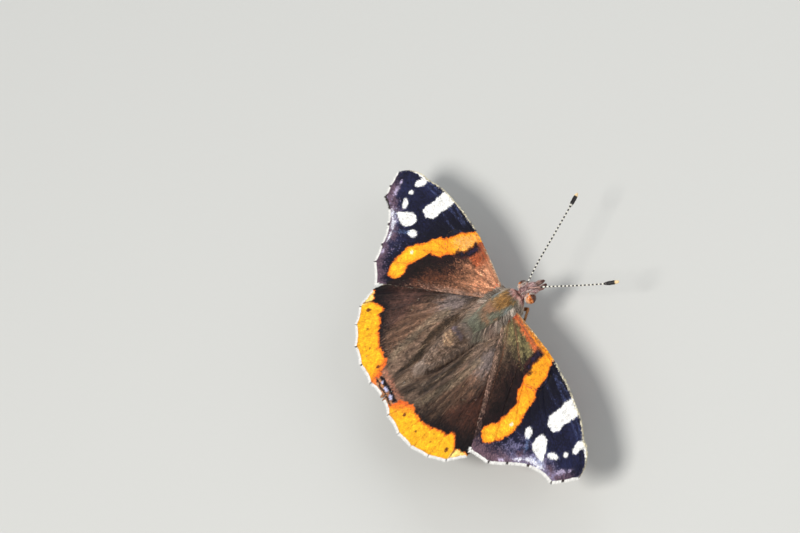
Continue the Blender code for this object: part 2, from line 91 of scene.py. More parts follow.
# Outlines as (out, back). A margin has its vein ends, each with the depth of the hollow after it.
FOREWING_FRONT = ((1.5, -0.2), (2.9, -0.35), (5.2, -0.6), (9.0, -1.0), (14.0, -1.32), (19.0, -1.1),
                  (24.0, -0.45), (26.3, 0.1), (28.4, 0.9), (30.0, 1.25), (31.3, 1.85), (32.6, 2.85),
                  (33.6, 4.5))
FOREWING_MARGIN = ((33.6, 4.5, 0.0), (32.4, 6.6, 0.0), (31.2, 8.2, 0.36), (26.4, 9.8, 0.12),
                   (23.95, 12.15, 0.04), (21.9, 14.4, 0.03), (18.35, 15.75, 0.0))
FOREWING_REAR = ((18.35, 15.75), (15.2, 13.0), (9.5, 8.2), (5.2, 4.6), (2.9, 2.6), (1.5, 1.8))
HINDWING_FRONT = ((1.4, 2.2), (3.1, 2.35), (7.0, 3.3), (11.0, 6.0), (14.8, 10.0), (17.2, 13.8),
                  (18.15, 16.8))
HINDWING_MARGIN = ((18.15, 16.8, 0.02), (16.85, 19.65, 0.1), (14.25, 21.6, 0.1), (10.8, 23.2, 0.14),
                   (7.4, 23.9, 0.2), (3.45, 23.95, 0.16), (0.6, 23.35, 0.0))
HINDWING_REAR = ((0.6, 23.35), (0.1, 23.0), (0.04, 18.0), (0.04, 13.5), (0.08, 10.8), (0.4, 8.6),
                 (1.0, 6.7), (1.3, 5.0))
FRONT_INSET = 0.1
MARGIN_INSET = 0.5
REAR_INSET = 0.02
HOLLOW_STEPS = 12

FOREWING_VEINS = (
    ((3.1, -0.1), (8.0, -0.55), (13.0, -0.85), (17.5, -1.0)),
    ((3.2, 0.1), (9.0, -0.1), (15.0, -0.3), (20.5, -0.45), (24.5, -0.1)),
    ((15.0, -0.3), (20.0, 0.35), (25.0, 1.2), (29.0, 2.0), (32.6, 3.8)),
    ((20.0, 0.35), (24.4, 0.35), (28.6, 1.25)),
    ((16.6, 1.5), (21.3, 1.85), (25.0, 2.35), (28.8, 3.4), (32.8, 5.0)),
    ((16.7, 2.1), (20.0, 3.4), (23.6, 4.3), (28.0, 5.0), (31.9, 6.25)),
    ((16.4, 2.9), (20.0, 4.3), (23.7, 5.15), (26.6, 6.1), (30.6, 7.8)),
    ((13.9, 3.9), (17.5, 4.8), (23.2, 7.6), (26.2, 9.4)),
    ((13.9, 3.9), (16.3, 6.1), (20.4, 9.1), (23.7, 11.8)),
    ((10.2, 2.9), (13.5, 6.2), (17.2, 9.9), (21.7, 14.0)),
    ((3.2, 0.6), (7.0, 1.8), (10.2, 2.9), (13.9, 3.9), (16.4, 2.9), (16.6, 1.5), (15.0, -0.3)),
    ((3.1, 1.3), (8.0, 5.0), (13.0, 9.8), (18.2, 15.1)),
)
HINDWING_VEINS = (
    ((3.3, 2.9), (7.0, 4.2), (12.0, 8.1), (16.1, 13.0), (17.8, 16.2)),
    ((3.3, 3.5), (6.8, 6.0), (10.2, 9.4), (14.6, 13.9), (17.5, 17.6)),
    ((10.2, 9.4), (10.8, 10.8), (13.6, 14.4), (15.9, 17.4), (16.8, 19.1)),
    ((10.8, 10.8), (10.6, 12.2), (12.6, 16.6), (14.1, 21.0)),
    ((10.6, 12.2), (9.0, 13.4), (10.3, 18.0), (10.95, 22.6)),
    ((2.9, 4.4), (5.6, 8.2), (7.8, 11.8), (9.0, 13.4)),
    ((7.8, 11.8), (8.0, 17.5), (7.7, 23.4)),
    ((5.6, 8.2), (5.1, 14.0), (4.2, 20.0), (3.5, 23.5)),
    ((2.75, 5.4), (2.3, 11.0), (1.5, 17.5), (0.9, 22.6)),
)
VEIN_STEP = 0.6

# Rows of scales and hair fan out from these places near the body.
FOREWING_FAN = (-6.0, -3.0)
HINDWING_FAN = (3.4, -1.0)

# Markings of the forewing's upper side as (out, back).
ORANGE_BAND = ((11.8, -1.7), (14.0, -1.7), (14.2, -1.2), (15.0, 0.0), (15.6, 0.8), (16.2, 2.0),
               (16.7, 3.4), (17.5, 3.7), (18.2, 5.0), (18.6, 6.2), (19.3, 7.3), (20.1, 8.6), (20.0, 9.1),
               (19.9, 10.3), (19.5, 11.8), (19.1, 12.7), (17.9, 13.4), (16.5, 12.9), (16.1, 12.1),
               (16.3, 11.0), (17.2, 10.0), (16.7, 9.2), (16.5, 7.8), (16.3, 6.2), (15.2, 6.0),
               (14.4, 5.2), (13.9, 4.1), (13.0, 3.4), (12.1, 2.1), (11.9, 0.9))
# The brown field's outer edge is the band's inner one.
BROWN_FIELD = ((0.0, -3.0), ORANGE_BAND[0], *ORANGE_BAND[:16:-1], (17.4, 16.5), (0.0, 6.0))
COSTAL_BAR = ((21.5, -1.2), (24.4, -1.0), (24.6, 0.6), (24.2, 2.2), (24.6, 3.4), (24.0, 4.2),
              (22.6, 4.25), (21.4, 3.4), (21.5, 1.8), (21.25, 0.4))
APEX_PATCH = ((28.4, 0.8), (29.8, 1.0), (31.3, 1.8), (32.3, 2.7), (31.2, 2.15), (30.0, 1.7), (29.5, 1.9),
              (29.7, 2.4), (29.6, 3.0), (29.0, 3.25), (28.4, 2.8), (28.0, 1.9), (28.3, 1.3))
LARGE_SPOT = ((23.2, 5.7), (24.1, 5.25), (25.0, 5.5), (25.9, 6.2), (26.9, 7.2), (27.2, 7.7), (26.0, 7.85),
              (24.7, 7.95), (23.7, 7.65), (23.1, 6.7))
# Small round spots as (out, back, half length, half width, turn in degrees).
SMALL_SPOTS = ((28.6, 4.2, 0.45, 0.4, 0.0), (27.5, 5.85, 0.95, 0.48, -33.0), (21.7, 7.15, 0.98, 0.58, 27.0))
BAND_DOT = (18.7, 8.6, 0.33, 0.33, 0.0)
SPOT_TAIL = (23.1, 8.2, 1.3, 0.3, 40.0)
SPOT_SMEAR = (26.6, 8.3, 1.3, 0.55, -25.0)
LILAC_DOTS = ((30.6, 6.0, 0.75, 0.34, -55.0), (31.4, 4.7, 0.4, 0.22, -60.0), (22.5, 12.4, 0.5, 0.3, -50.0))
LUNULES = ((27.4, 8.3, 1.1, 0.3, -20.0), (25.6, 9.0, 0.9, 0.34, -32.0), (24.2, 10.4, 0.9, 0.26, 128.0))
DARK_BAR = ((10.7, -0.1), (11.4, -0.4), (12.2, -0.1), (12.1, 0.9), (12.5, 1.9), (13.4, 2.9), (13.0, 3.3),
            (11.9, 2.6), (11.0, 1.6), (10.8, 0.8))

# Markings of the hindwing's upper side. The band runs on past the margin.
HIND_BAND = ((18.9, 15.9), (17.6, 16.4), (16.6, 17.0), (16.0, 17.4), (14.7, 16.8), (13.4, 16.5),
             (12.8, 17.3), (11.4, 18.1), (10.2, 18.8), (9.0, 19.5), (7.3, 19.9), (6.1, 19.9), (5.1, 19.8),
             (4.3, 20.3), (3.3, 20.9), (2.8, 22.3), (2.3, 23.1), (2.3, 25.5), (10.0, 25.5), (19.5, 20.5),
             (19.5, 15.9))
HIND_DOTS = ((15.06, 18.57, 0.38, 0.27, 60.0), (12.14, 20.05, 0.2, 0.17, 0.0),
             (8.91, 21.14, 0.2, 0.17, 0.0), (5.13, 21.42, 0.33, 0.26, 70.0))
# The pale blue marks at the inner corner.
LAVENDER_SPOTS = ((0.95, 22.05, 0.62, 0.24, 6.0), (2.25, 22.0, 0.3, 0.18, 0.0))
# The dark fold beside the abdomen, and the pale ridge outside it.
GROOVE = {"left": ((3.8, 7.8), (4.1, 9.5), (4.0, 12.0), (3.4, 14.0), (2.4, 15.8), (2.2, 18.5)),
          "right": ((3.1, 9.0), (3.5, 12.0), (3.6, 15.0), (3.6, 18.0))}
RIDGE = ((5.6, 8.5), (6.0, 12.0), (5.6, 16.0), (5.0, 19.0))
# How far the pattern by the inner corner lies further out on one side than on the other.
CORNER_SHIFT = {"left": 0.6, "right": -0.7}

WHITE = (250, 249, 246)
NAVY = (13, 12, 28)
# Navy of the painted sheen on the outer black.
SHEEN_BLUE = (36, 40, 76)
MAROON = (110, 86, 100)
# Lilac of the painted sheen near the forewing's margin.
SHEEN_LILAC = (130, 124, 156)
ORANGE = (255, 163, 32)
ORANGE_EDGE = (238, 112, 30)
ORANGE_GLOW = (255, 188, 40)
HIND_ORANGE = (255, 179, 32)
HIND_RED = (238, 104, 46)
CREAM_YELLOW = (250, 216, 124)
# Where a colour differs between the left and right wings, the difference is painted light and shade: the two
# wings catch the light differently.
COSTA_RED = {"left": (160, 80, 48), "right": (228, 110, 60)}
COSTA_PEACH = (234, 168, 130)
BASE_WARM = {"left": (194, 132, 98), "right": (126, 116, 78)}
BASE_MIDDLE = {"left": (136, 92, 68), "right": (74, 60, 48)}
BROWN = {"left": (84, 50, 34), "right": (44, 28, 22)}
DARK_BROWN = (26, 14, 14)
REAR_PINK = (142, 114, 100)
# It fades out between these distances from the body.
REAR_PINK_REACH = {"left": (16.0, 9.0), "right": (19.5, 12.0)}
BLACK = (14, 10, 14)
LAVENDER = (190, 190, 224)
OCHRE = (200, 142, 92)
COSTA_PALE = (214, 206, 178)
# Blue-grey of the painted reflection on the veins near the costa.
VEIN_GLINT_BLUE = (74, 84, 124)
MARGIN_ROSE = (114, 88, 98)
ORANGE_PALE = (252, 184, 116)
BAR_RED = (64, 30, 30)
BAR_VIOLET = (50, 36, 66)
BAND_DOT_PALE = (255, 226, 190)
TAIL_BLUE = (92, 116, 158)
SHEEN_SMEAR_BLUE = (196, 204, 234)
LILAC = (196, 184, 214)
LUNULE_WHITE = (226, 226, 240)
CORNER_PINK = (196, 124, 98)
VEIN_RUST = (128, 62, 26)
HIND_DOT_BROWN = (104, 48, 22)
HIND_RIM = (176, 104, 44)
# How much of a faint layer blends into every scale, instead of colouring some scales whole.
BLEND = 0.6


def smooth(low, high, value):
    """0 below low, 1 above high and an even rise between."""
    t = np.clip((value - low) / (high - low), 0.0, 1.0)
    return t * t * (3.0 - 2.0 * t)


def noise(x, y, size, seed):
    """Smooth random numbers from 0 to 1 over a plane, which change over about the given size."""
    cells = 61
    table = np.random.default_rng(seed).random((cells, cells))
    gx = np.asarray(x) / size
    gy = np.asarray(y) / size
    ix = np.floor(gx).astype(int)
    iy = np.floor(gy).astype(int)
    fx = smooth(0.0, 1.0, gx - ix)
    fy = smooth(0.0, 1.0, gy - iy)
    ix, jx, iy, jy = ix % cells, (ix + 1) % cells, iy % cells, (iy + 1) % cells
    low = table[ix, iy] * (1.0 - fx) + table[jx, iy] * fx
    high = table[ix, jy] * (1.0 - fx) + table[jx, jy] * fx
    return low * (1.0 - fy) + high * fy


def streaks(x, y, fan, seed, size=0.3, reach=5.0):
    """Noise drawn out along the rays of a fan."""
    dx, dy = x - fan[0], y - fan[1]
    return noise(12.0 * np.arctan2(dy, dx) + 60.0, np.hypot(dx, dy) / reach, size, seed)


def silky(x, y, fan, seed):
    """Light and dark streaks along a fan, about 1 on the whole."""
    return 0.38 + 0.66 * streaks(x, y, fan, seed, 0.14, 2.0) + 0.54 * streaks(x, y, fan, seed + 1, 0.4, 5.0)


def curve(points, step):
    """Points about a step apart on the smooth curve through the given ones."""
    points = np.array(points, float)
    padded = np.vstack([points[:1], points, points[-1:]])
    found = [points[:1]]
    for p0, p1, p2, p3 in zip(padded, padded[1:], padded[2:], padded[3:]):
        count = max(1, round(float(np.linalg.norm(p2 - p1)) / step))
        t = (np.arange(count) + 1.0)[:, None] / count
        found.append(0.5 * (2.0 * p1 + (p2 - p0) * t + (2.0 * p0 - 5.0 * p1 + 4.0 * p2 - p3) * t * t
                            + (3.0 * p1 - p0 - 3.0 * p2 + p3) * t * t * t))
    return np.vstack(found)


def line_distance(x, y, line):
    """Distance from each place to a polyline."""
    nearest = np.full(np.shape(x), np.inf)
    for (ax, ay), (bx, by) in zip(line, line[1:]):
        dx, dy = bx - ax, by - ay
        t = np.clip(((x - ax) * dx + (y - ay) * dy) / max(dx * dx + dy * dy, 1e-12), 0.0, 1.0)
        nearest = np.minimum(nearest, (x - ax - t * dx) ** 2 + (y - ay - t * dy) ** 2)
    return np.sqrt(nearest)


def unit(vectors):
    """The same directions at length 1."""
    return vectors / np.linalg.norm(vectors, axis=1)[:, None]


def leaned(along, across, lean):
    """Directions turned aside, each by the angle whose sine is its lean."""
    lean = lean[:, None]
    return along * np.sqrt(1.0 - np.minimum(lean * lean, 0.5)) + across * lean


def distances(path):
    """How far along a path each of its points is."""
    return np.concatenate([(0.0,), np.cumsum(np.linalg.norm(np.diff(path, axis=0), axis=1))])


def depth_inside(x, y, outline):
    """Distance to a closed outline, above 0 inside it and below 0 outside."""
    ring = [*outline, outline[0]]
    crossings = np.zeros(np.shape(x), int)
    for (ax, ay), (bx, by) in zip(ring, ring[1:]):
        if ay != by:
            between = (ay > y) != (by > y)
            crossings += between & (x < ax + (y - ay) * (bx - ax) / (by - ay))
    return np.where(crossings % 2 == 1, 1.0, -1.0) * line_distance(x, y, ring)


def depth_in_spot(x, y, spot):
    """About the distance to the edge of an oval spot, above 0 inside it."""
    out, back, long, wide, turn = spot
    c, s = math.cos(math.radians(turn)), math.sin(math.radians(turn))
    along = (x - out) * c + (y - back) * s
    across = (y - back) * c - (x - out) * s
    return (1.0 - np.hypot(along / long, across / wide)) * min(long, wide)


class Paint:
    """The colours of many places at once. A scale takes a layer whole or not at all, by its chance, as
    real scales do, but for the part that blends. On a skin, which has no chances, all of it blends."""

    def __init__(self, base, places, chance=None):
        self.rgb = np.tile(np.array(base, float), (len(places), 1))
        self.chance = chance

    def lay(self, tint, mask):
        if self.chance is not None:
            mask = BLEND * mask + (1.0 - BLEND) * (mask > self.chance)
        self.rgb += (np.array(tint, float) - self.rgb) * mask[:, None]

    def shade(self, factor):
        self.rgb *= factor[:, None]


def cover(depth, soft=0.1):
    """1 inside a shape and 0 outside it, with a soft edge."""
    return smooth(-soft, soft, depth)


# Surfaces of the wings.

def wing_sheet(out):
    """Height of a wing's sheet, which arches, droops a little and rises at the tip."""
    share = out / WING_SPAN
    arch = WING_CAMBER * np.sin(math.pi * np.minimum(share, 1.0)) - WING_DROOP * share * share
    return arch + TIP_RISE * (np.maximum(out - TIP_STARTS, 0.0) / TIP_SPAN) ** 1.6


def hindwing_sheet(out, back):
    """Height of the hindwing's sheet, with its trough for the abdomen and its rear part lifted."""
    along = smooth(*TROUGH_STARTS, back) * (1.0 - smooth(*TROUGH_ENDS, back))
    across = 1.0 - smooth(0.0, TROUGH_HALF_WIDTH, out)
    behind = REAR_EDGE_ACROSS[1] * (back - REAR_EDGE_AT[1]) + REAR_EDGE_ACROSS[0] * (out - REAR_EDGE_AT[0])
    by_body = (1.0 - smooth(*BODY_SIDE_ENDS, out)) * (1.0 - smooth(*BODY_REAR_ENDS, back))
    lift = REAR_LIFT * smooth(*REAR_LIFT_SPAN, behind) * (1.0 - by_body)
    return wing_sheet(out) - HINDWING_DROP - TROUGH_DEPTH * along * across + lift


class Wing:
    """One kind of wing: its outline, veins and the height of its skin, for the insect's left side."""

    def __init__(self, kind, front, margin, rear, veins, fan):
        self.kind = kind
        self.fan = np.array(fan)
        self.front = self.inset(curve(front, EDGE_STEP), FRONT_INSET)
        self.edge = self.hollowed(margin)
        self.margin = self.inset(self.edge, MARGIN_INSET)
        self.rear = self.inset(curve(rear, EDGE_STEP), REAR_INSET)
        self.vein_ends = np.array([end[:2] for end in margin[1:-1]])
        self.veins = [curve(vein, VEIN_STEP) for vein in veins]
        self.outline = self.joined()

    @staticmethod
    def outward(line):
        """For each point of an edge, the direction away from the wing."""
        run = np.gradient(line, axis=0)
        away = unit(np.stack([run[:, 1], -run[:, 0]], 1))
        if ((line - np.array(WING_MIDDLE)) * away).sum() < 0.0:
            away = -away
        return away

    def inset(self, line, depth):
        return line - self.outward(line) * depth

    def hollowed(self, vein_ends):
        """The outer margin, with a shallow hollow between each vein end and the next."""
        line = []
        for (x0, y0, depth), (x1, y1, _) in zip(vein_ends, vein_ends[1:]):
            start, end = np.array((x0, y0)), np.array((x1, y1))
            inward = -self.outward(np.array([start, end]))[0]
            for i in range(HOLLOW_STEPS):
                t = i / HOLLOW_STEPS
                line.append(start + (end - start) * t + inward * depth * math.sin(math.pi * t))
        line.append(np.array(vein_ends[-1][:2]))
        return np.array(line)

    def joined(self):
        """The skin's outline, without points that crowd each other."""
        outline = []
        for point in [*self.front[:-1], *self.margin, *self.rear[1:]]:
            if not outline or np.linalg.norm(point - outline[-1]) > EDGE_CLEAR:
                outline.append(point)
        return np.array(outline)

    def vein_distance(self, x, y):
        nearest = np.full(np.shape(x), np.inf)
        for vein in self.veins:
            nearest = np.minimum(nearest, line_distance(x, y, vein))
        return nearest

    def height(self, x, y):
        """Height of the middle of the skin, with its veins raised and shallow pleats between them."""
        near = self.vein_distance(x, y)
        strength = 1.0 - 0.5 * np.clip(x / WING_SPAN, 0.0, 1.0)
        relief = VEIN_RIDGE * strength * np.exp(-(near / VEIN_RIDGE_WIDTH) ** 2)
        relief -= PLEAT_DEPTH * (1.0 - np.exp(-(near / PLEAT_WIDTH) ** 2))
        if self.kind == "forewing":
            return wing_sheet(x) + FOREWING_SINK + relief
        return hindwing_sheet(x, y) + HINDWING_RISE + relief

    def places(self, row, column, rng, limit=0.0):
        """Staggered rows of places that fan out over the wing, and the direction of the fan at each."""
        span = self.outline - self.fan
        reach = np.linalg.norm(span, axis=1)
        found = []
        for number, radius in enumerate(np.arange(reach.min(), reach.max(), row)):
            angles = np.arctan2(span[:, 1], span[:, 0])
            step = column / radius
            angle = np.arange(angles.min(), angles.max(), step) + (number % 2) * 0.5 * step
            found.append(np.stack([radius * np.cos(angle), radius * np.sin(angle)], 1))
        places = np.vstack(found) + self.fan
        places += rng.uniform(-0.22, 0.22, places.shape) * (row, column)
        places = places[depth_inside(places[:, 0], places[:, 1], self.outline) > limit]
        return places, unit(places - self.fan)


FOREWING = Wing("forewing", FOREWING_FRONT, FOREWING_MARGIN, FOREWING_REAR, FOREWING_VEINS, FOREWING_FAN)
HINDWING = Wing("hindwing", HINDWING_FRONT, HINDWING_MARGIN, HINDWING_REAR, HINDWING_VEINS, HINDWING_FAN)


# Markings.

def forewing_top(x, y, side, chance=None):
    """Colours of the forewing's upper side, laid over each other from the ground colour up. Some of them are
    painted sheen, painted light and painted shade.
    """
    wobble = 0.32 * (noise(x, y, 0.45, 11) - 0.5)
    near = FOREWING.vein_distance(x, y)
    margin = line_distance(x, y, FOREWING.margin)
    paint = Paint(NAVY, x, chance)
    # Painted sheen: patchy navy blue over the outer black, where the velvety scales reflect.
    paint.lay(SHEEN_BLUE, (0.25 + 0.5 * noise(x, y, 1.6, 12)) * smooth(18.0, 24.0, x))
    # Painted reflection: a blue-grey glint on the veins near the costa.
    paint.lay(VEIN_GLINT_BLUE, 0.5 * smooth(0.22, 0.06, near) * smooth(2.4, 1.2, y) * smooth(15.5, 17.0, x))
    rim = smooth(2.2, 0.5, margin + 1.2 * (noise(x, y, 0.9, 17) - 0.5)) * smooth(3.5, 6.5, y)
    paint.lay(MAROON, 0.85 * rim)
    # Painted sheen: a lilac haze near the outer margin, stronger on the right wing, which catches more
    # light.
    painted_sheen = smooth(5.2, 1.4, margin) * smooth(5.0, 8.0, y) * smooth(0.2, 0.6, noise(x, y, 0.7, 18))
    paint.lay(SHEEN_LILAC, painted_sheen * smooth(14.0, 9.0, y) * (0.75 if side == "right" else 0.2))
    field = depth_inside(x, y, BROWN_FIELD) + wobble
    paint.lay(DARK_BROWN, cover(field, 0.15))
    # Painted light and shade: the brown field and its base are lighter on the left wing than on the right.
    paint.lay(BROWN[side], cover(field, 0.15) * smooth(1.0, 4.0, field) * (0.7 + 0.3 * noise(x, y, 0.5, 13)))
    paint.lay(BASE_MIDDLE[side], cover(field) * smooth(14.0, 8.5, x + 0.35 * y) * smooth(0.2, 1.8, field))
    warm = smooth(4.4, 1.2, y + 0.5 * (noise(x, y, 0.8, 14) - 0.5)) * smooth(0.0, 0.9, field)
    paint.lay(BASE_WARM[side], warm * (0.75 + 0.25 * noise(x, y, 0.3, 15)))
    # Painted light and shade: the costal strip's colours differ between the two wings, brighter red on the
    # right one.
    reach = {"left": 1.7, "right": 0.55}[side]
    costa = smooth(reach + 0.4, reach - 0.4, y + wobble) * smooth(13.4, 12.2, x)
    paint.lay(COSTA_RED[side], costa * (0.9 if side == "right" else 0.5 + 0.5 * smooth(4.0, 10.0, x)))
    if side == "left":
        paint.lay(COSTA_PEACH, 0.9 * costa * smooth(9.5, 7.0, x) * (0.7 + 0.3 * noise(x, y, 0.3, 19)))
    else:
        paint.lay(ORANGE, smooth(0.1, -0.5, y) * smooth(13.4, 12.2, x) * 0.75)
    # Painted sheen: a rose haze along the right wing's rear margin.
    if side == "right":
        rear_half = smooth(10.5, 12.5, y) * smooth(26.0, 23.0, x)
        paint.lay(MARGIN_ROSE, 0.55 * smooth(3.4, 0.8, margin) * rear_half)
    ridge = smooth(1.3, 0.3, line_distance(x, y, FOREWING.rear)) * smooth(*REAR_PINK_REACH[side], x)
    paint.lay(REAR_PINK, 0.75 * ridge * (0.5 + 0.5 * streaks(x, y, FOREWING_FAN, 65, 0.3)))
    paint.shade(1.0 + cover(field) * smooth(-0.4, 1.2, y) * (silky(x, y, FOREWING_FAN, 63) - 1.0))
    band = depth_inside(x, y, ORANGE_BAND) + wobble
    paint.lay(ORANGE_EDGE, cover(band))
    paint.lay(ORANGE, cover(band - 0.2, 0.2))
    paint.lay(ORANGE_GLOW, 0.8 * cover(band - 0.5, 0.3) * smooth(3.0, 11.0, y))
    # Painted highlight: the front of the band is paler on the left wing.
    if side == "left":
        paint.lay(ORANGE_PALE, 0.6 * cover(band - 0.5, 0.3) * smooth(3.5, 1.5, y))
    paint.lay(ORANGE_EDGE, 0.3 * smooth(0.14, 0.04, near) * cover(band))
    bar = depth_inside(x, y, DARK_BAR) + 1.6 * wobble
    paint.lay(BAR_RED, 0.8 * cover(bar + 0.2, 0.25))
    paint.lay(BLACK, 0.9 * cover(bar - 0.1, 0.2))
    paint.lay(BAR_VIOLET, 0.7 * cover(bar - 0.4, 0.2))
    paint.lay(BAND_DOT_PALE, cover(depth_in_spot(x, y, BAND_DOT), 0.12))
    for outline in (COSTAL_BAR, APEX_PATCH, LARGE_SPOT):
        paint.lay(WHITE, cover(depth_inside(x, y, outline) + 0.6 * wobble))
    for spot in SMALL_SPOTS:
        paint.lay(WHITE, cover(depth_in_spot(x, y, spot) + 0.3 * wobble))
    paint.lay(TAIL_BLUE, 0.55 * cover(depth_in_spot(x, y, SPOT_TAIL), 0.25))
    # A pale blue smear beside the large spot, much stronger on the right wing: its extra strength there is
    # painted sheen.
    smear_sheen = 0.75 if side == "right" else 0.35
    paint.lay(SHEEN_SMEAR_BLUE, smear_sheen * cover(depth_in_spot(x, y, SPOT_SMEAR), 0.3))
    for dot in LILAC_DOTS:
        paint.lay(LILAC, 0.8 * cover(depth_in_spot(x, y, dot) + 0.3 * wobble, 0.2))
    for lunule in LUNULES:
        paint.lay(LUNULE_WHITE, 0.9 * cover(depth_in_spot(x, y, lunule) + 0.4 * wobble, 0.15))
    edge = line_distance(x, y, FOREWING.front)
    paint.lay(COSTA_PALE, 0.85 * smooth(0.24, 0.1, edge) * smooth(13.5, 15.0, x) * smooth(34.0, 31.0, x))
    paint.lay(COSTA_PALE, 0.6 * smooth(0.28, 0.1, edge) * smooth(12.0, 9.0, x))
    paint.lay(BASE_MIDDLE["left"], 0.5 * smooth(0.2, 0.05, near) * cover(field - 0.6) * smooth(14.0, 9.0, x))
    paint.shade(0.9 + 0.2 * noise(x, y, 0.5, 16))
    return paint.rgb


# Colours of the hindwing's inner part, from the body outwards.
HIND_GREY = (118, 104, 100)
HIND_TAN = (136, 118, 98)
HIND_PINK = (112, 92, 78)
HIND_BROWN = (104, 78, 62)
HIND_RUSSET = {"left": (70, 48, 42), "right": (74, 44, 34)}
HIND_FOLD = (60, 46, 34)


def hindwing_inner(paint, x, y, side):
    """The soft colours of the hindwing's inner part, which scales and hair share."""
    patch = noise(x, y, 0.9, 27)
    paint.lay(HIND_RUSSET[side], smooth(18.5, 13.0, x + 2.0 * (patch - 0.5)) * smooth(18.5, 15.5, y))
    paint.lay(HIND_BROWN, smooth(11.5, 8.5, x + 2.0 * (patch - 0.5)) * 0.9)
    paint.lay(HIND_GREY, smooth(10.5, 7.5, x + patch) * smooth(11.5, 8.5, y + patch))
    paint.lay(HIND_PINK, smooth(5.6, 4.2, x) * 0.9)
    paint.lay(HIND_TAN, 0.85 * smooth(1.2, 0.3, line_distance(x, y, RIDGE)) * (0.6 + 0.4 * patch))
    fold = 0.95 - 0.04 * (y - 8.0)
    paint.lay(HIND_FOLD, 0.9 * smooth(fold, 0.3 * fold, line_distance(x, y, GROOVE[side])))
    # Painted shade: the right hindwing darkens towards its rear.
    if side == "right":
        rear = 1.0 - 0.2 * smooth(11.5, 14.0, y + 0.3 * x)
        paint.shade(rear * (1.0 - 0.28 * smooth(14.5, 17.5, y) * smooth(5.0, 7.0, x)))


def hindwing_top(x, y, side, chance=None):
    """Colours of the hindwing's upper side, laid in the same way."""
    wobble = 0.35 * (noise(x, y, 0.45, 21) - 0.5)
    near = HINDWING.vein_distance(x, y)
    paint = Paint(DARK_BROWN, x, chance)
    hindwing_inner(paint, x, y, side)
    paint.shade(silky(x, y, HINDWING_FAN, 61))
    paint.lay(BLACK, 0.35 * smooth(13.0, 16.0, x) * smooth(13.0, 15.5, y))
    outer = x - CORNER_SHIFT[side] * smooth(6.5, 3.5, x)
    band = depth_inside(outer, y, HIND_BAND) + wobble - 0.3 * smooth(0.4, 0.05, near)
    paint.lay(BLACK, 0.75 * smooth(-1.6, -0.3, band) * smooth(4.5, 7.0, x))
    corner = smooth(5.2, 3.6, outer) * smooth(20.0, 20.9, y)
    paint.lay(CORNER_PINK, 0.7 * corner * (0.5 + 0.5 * noise(x, y, 0.4, 28)))
    paint.lay(ORANGE_EDGE, cover(band + 0.1))
    paint.lay(HIND_ORANGE, cover(band - 0.2, 0.2))
    paint.lay(HIND_RED, cover(band) * smooth(6.4, 3.4, outer + 0.8 * (y - 21.0)) * 0.9)
    paint.lay(CREAM_YELLOW, cover(band - 0.05) * smooth(15.7, 16.1, x - 0.3 * (y - 17.4)))
    last_veins = smooth(0.14, 0.04, near) * smooth(15.4, 15.8, x) * smooth(17.0, 16.6, x)
    paint.lay(VEIN_RUST, 0.7 * cover(band) * last_veins)
    for number, dot in enumerate(HIND_DOTS):
        strength = 0.9 if number in (0, 3) else 0.8
        paint.lay(HIND_DOT_BROWN, strength * cover(depth_in_spot(x, y, dot), 0.1))
    reach = 2.7 + CORNER_SHIFT[side]
    inside = smooth(reach + 0.3, reach - 0.1, x)
    paint.lay(OCHRE, 0.8 * inside * smooth(21.9, 22.3, y) * (0.4 + 0.6 * noise(x, y, 0.35, 29)))
    wavy = 0.3 * (noise(x, y, 0.5, 24) - 0.5)
    paint.lay(BLACK, inside * cover(0.24 - np.abs(y - 21.62 - 0.06 * x + wavy), 0.08))
    paint.lay(BLACK, 0.85 * inside * cover(0.14 - np.abs(y - 22.5 + wavy), 0.08))
    for spot in LAVENDER_SPOTS:
        paint.lay(LAVENDER, inside * cover(depth_in_spot(x, y, spot) + 0.5 * wavy, 0.08))
    edge = line_distance(x, y, HINDWING.margin)
    paint.lay(HIND_RIM, 0.4 * smooth(0.2, 0.05, edge) * cover(band))
    paint.shade(0.9 + 0.2 * noise(x, y, 0.5, 26))
    return paint.rgb


UNDER_BROWN = (92, 72, 56)
UNDER_DARK = (48, 38, 34)
UNDER_GREY = (150, 140, 126)
UNDER_OCHRE = (172, 138, 92)
UNDER_ROSE = (214, 96, 70)
UNDER_BLUE = (96, 128, 176)
UNDER_WHITE = (238, 232, 222)
UNDER_SPOT = (226, 222, 222)
UNDER_MAUVE = (112, 88, 88)
UNDER_CREAM = (222, 208, 176)
# Eye spots of the hindwing's underside as (out, back, half length, half width, turn).
EYE_SPOTS = ((14.6, 16.4, 0.95, 0.75, 50.0), (12.3, 18.3, 0.8, 0.65, 40.0), (9.0, 19.4, 0.8, 0.65, 10.0),
             (5.6, 19.6, 0.95, 0.75, 0.0))
PALE_PATCH = (11.8, 7.3, 1.3, 0.7, 45.0)


def marbled(x, y, seed):
    """Brown, grey and ochre in small irregular patches."""
    warp = 1.6 * noise(x, y, 1.5, seed)
    return noise(x + warp, y - warp, 0.9, seed + 1), noise(x - warp, y + warp, 0.55, seed + 2)


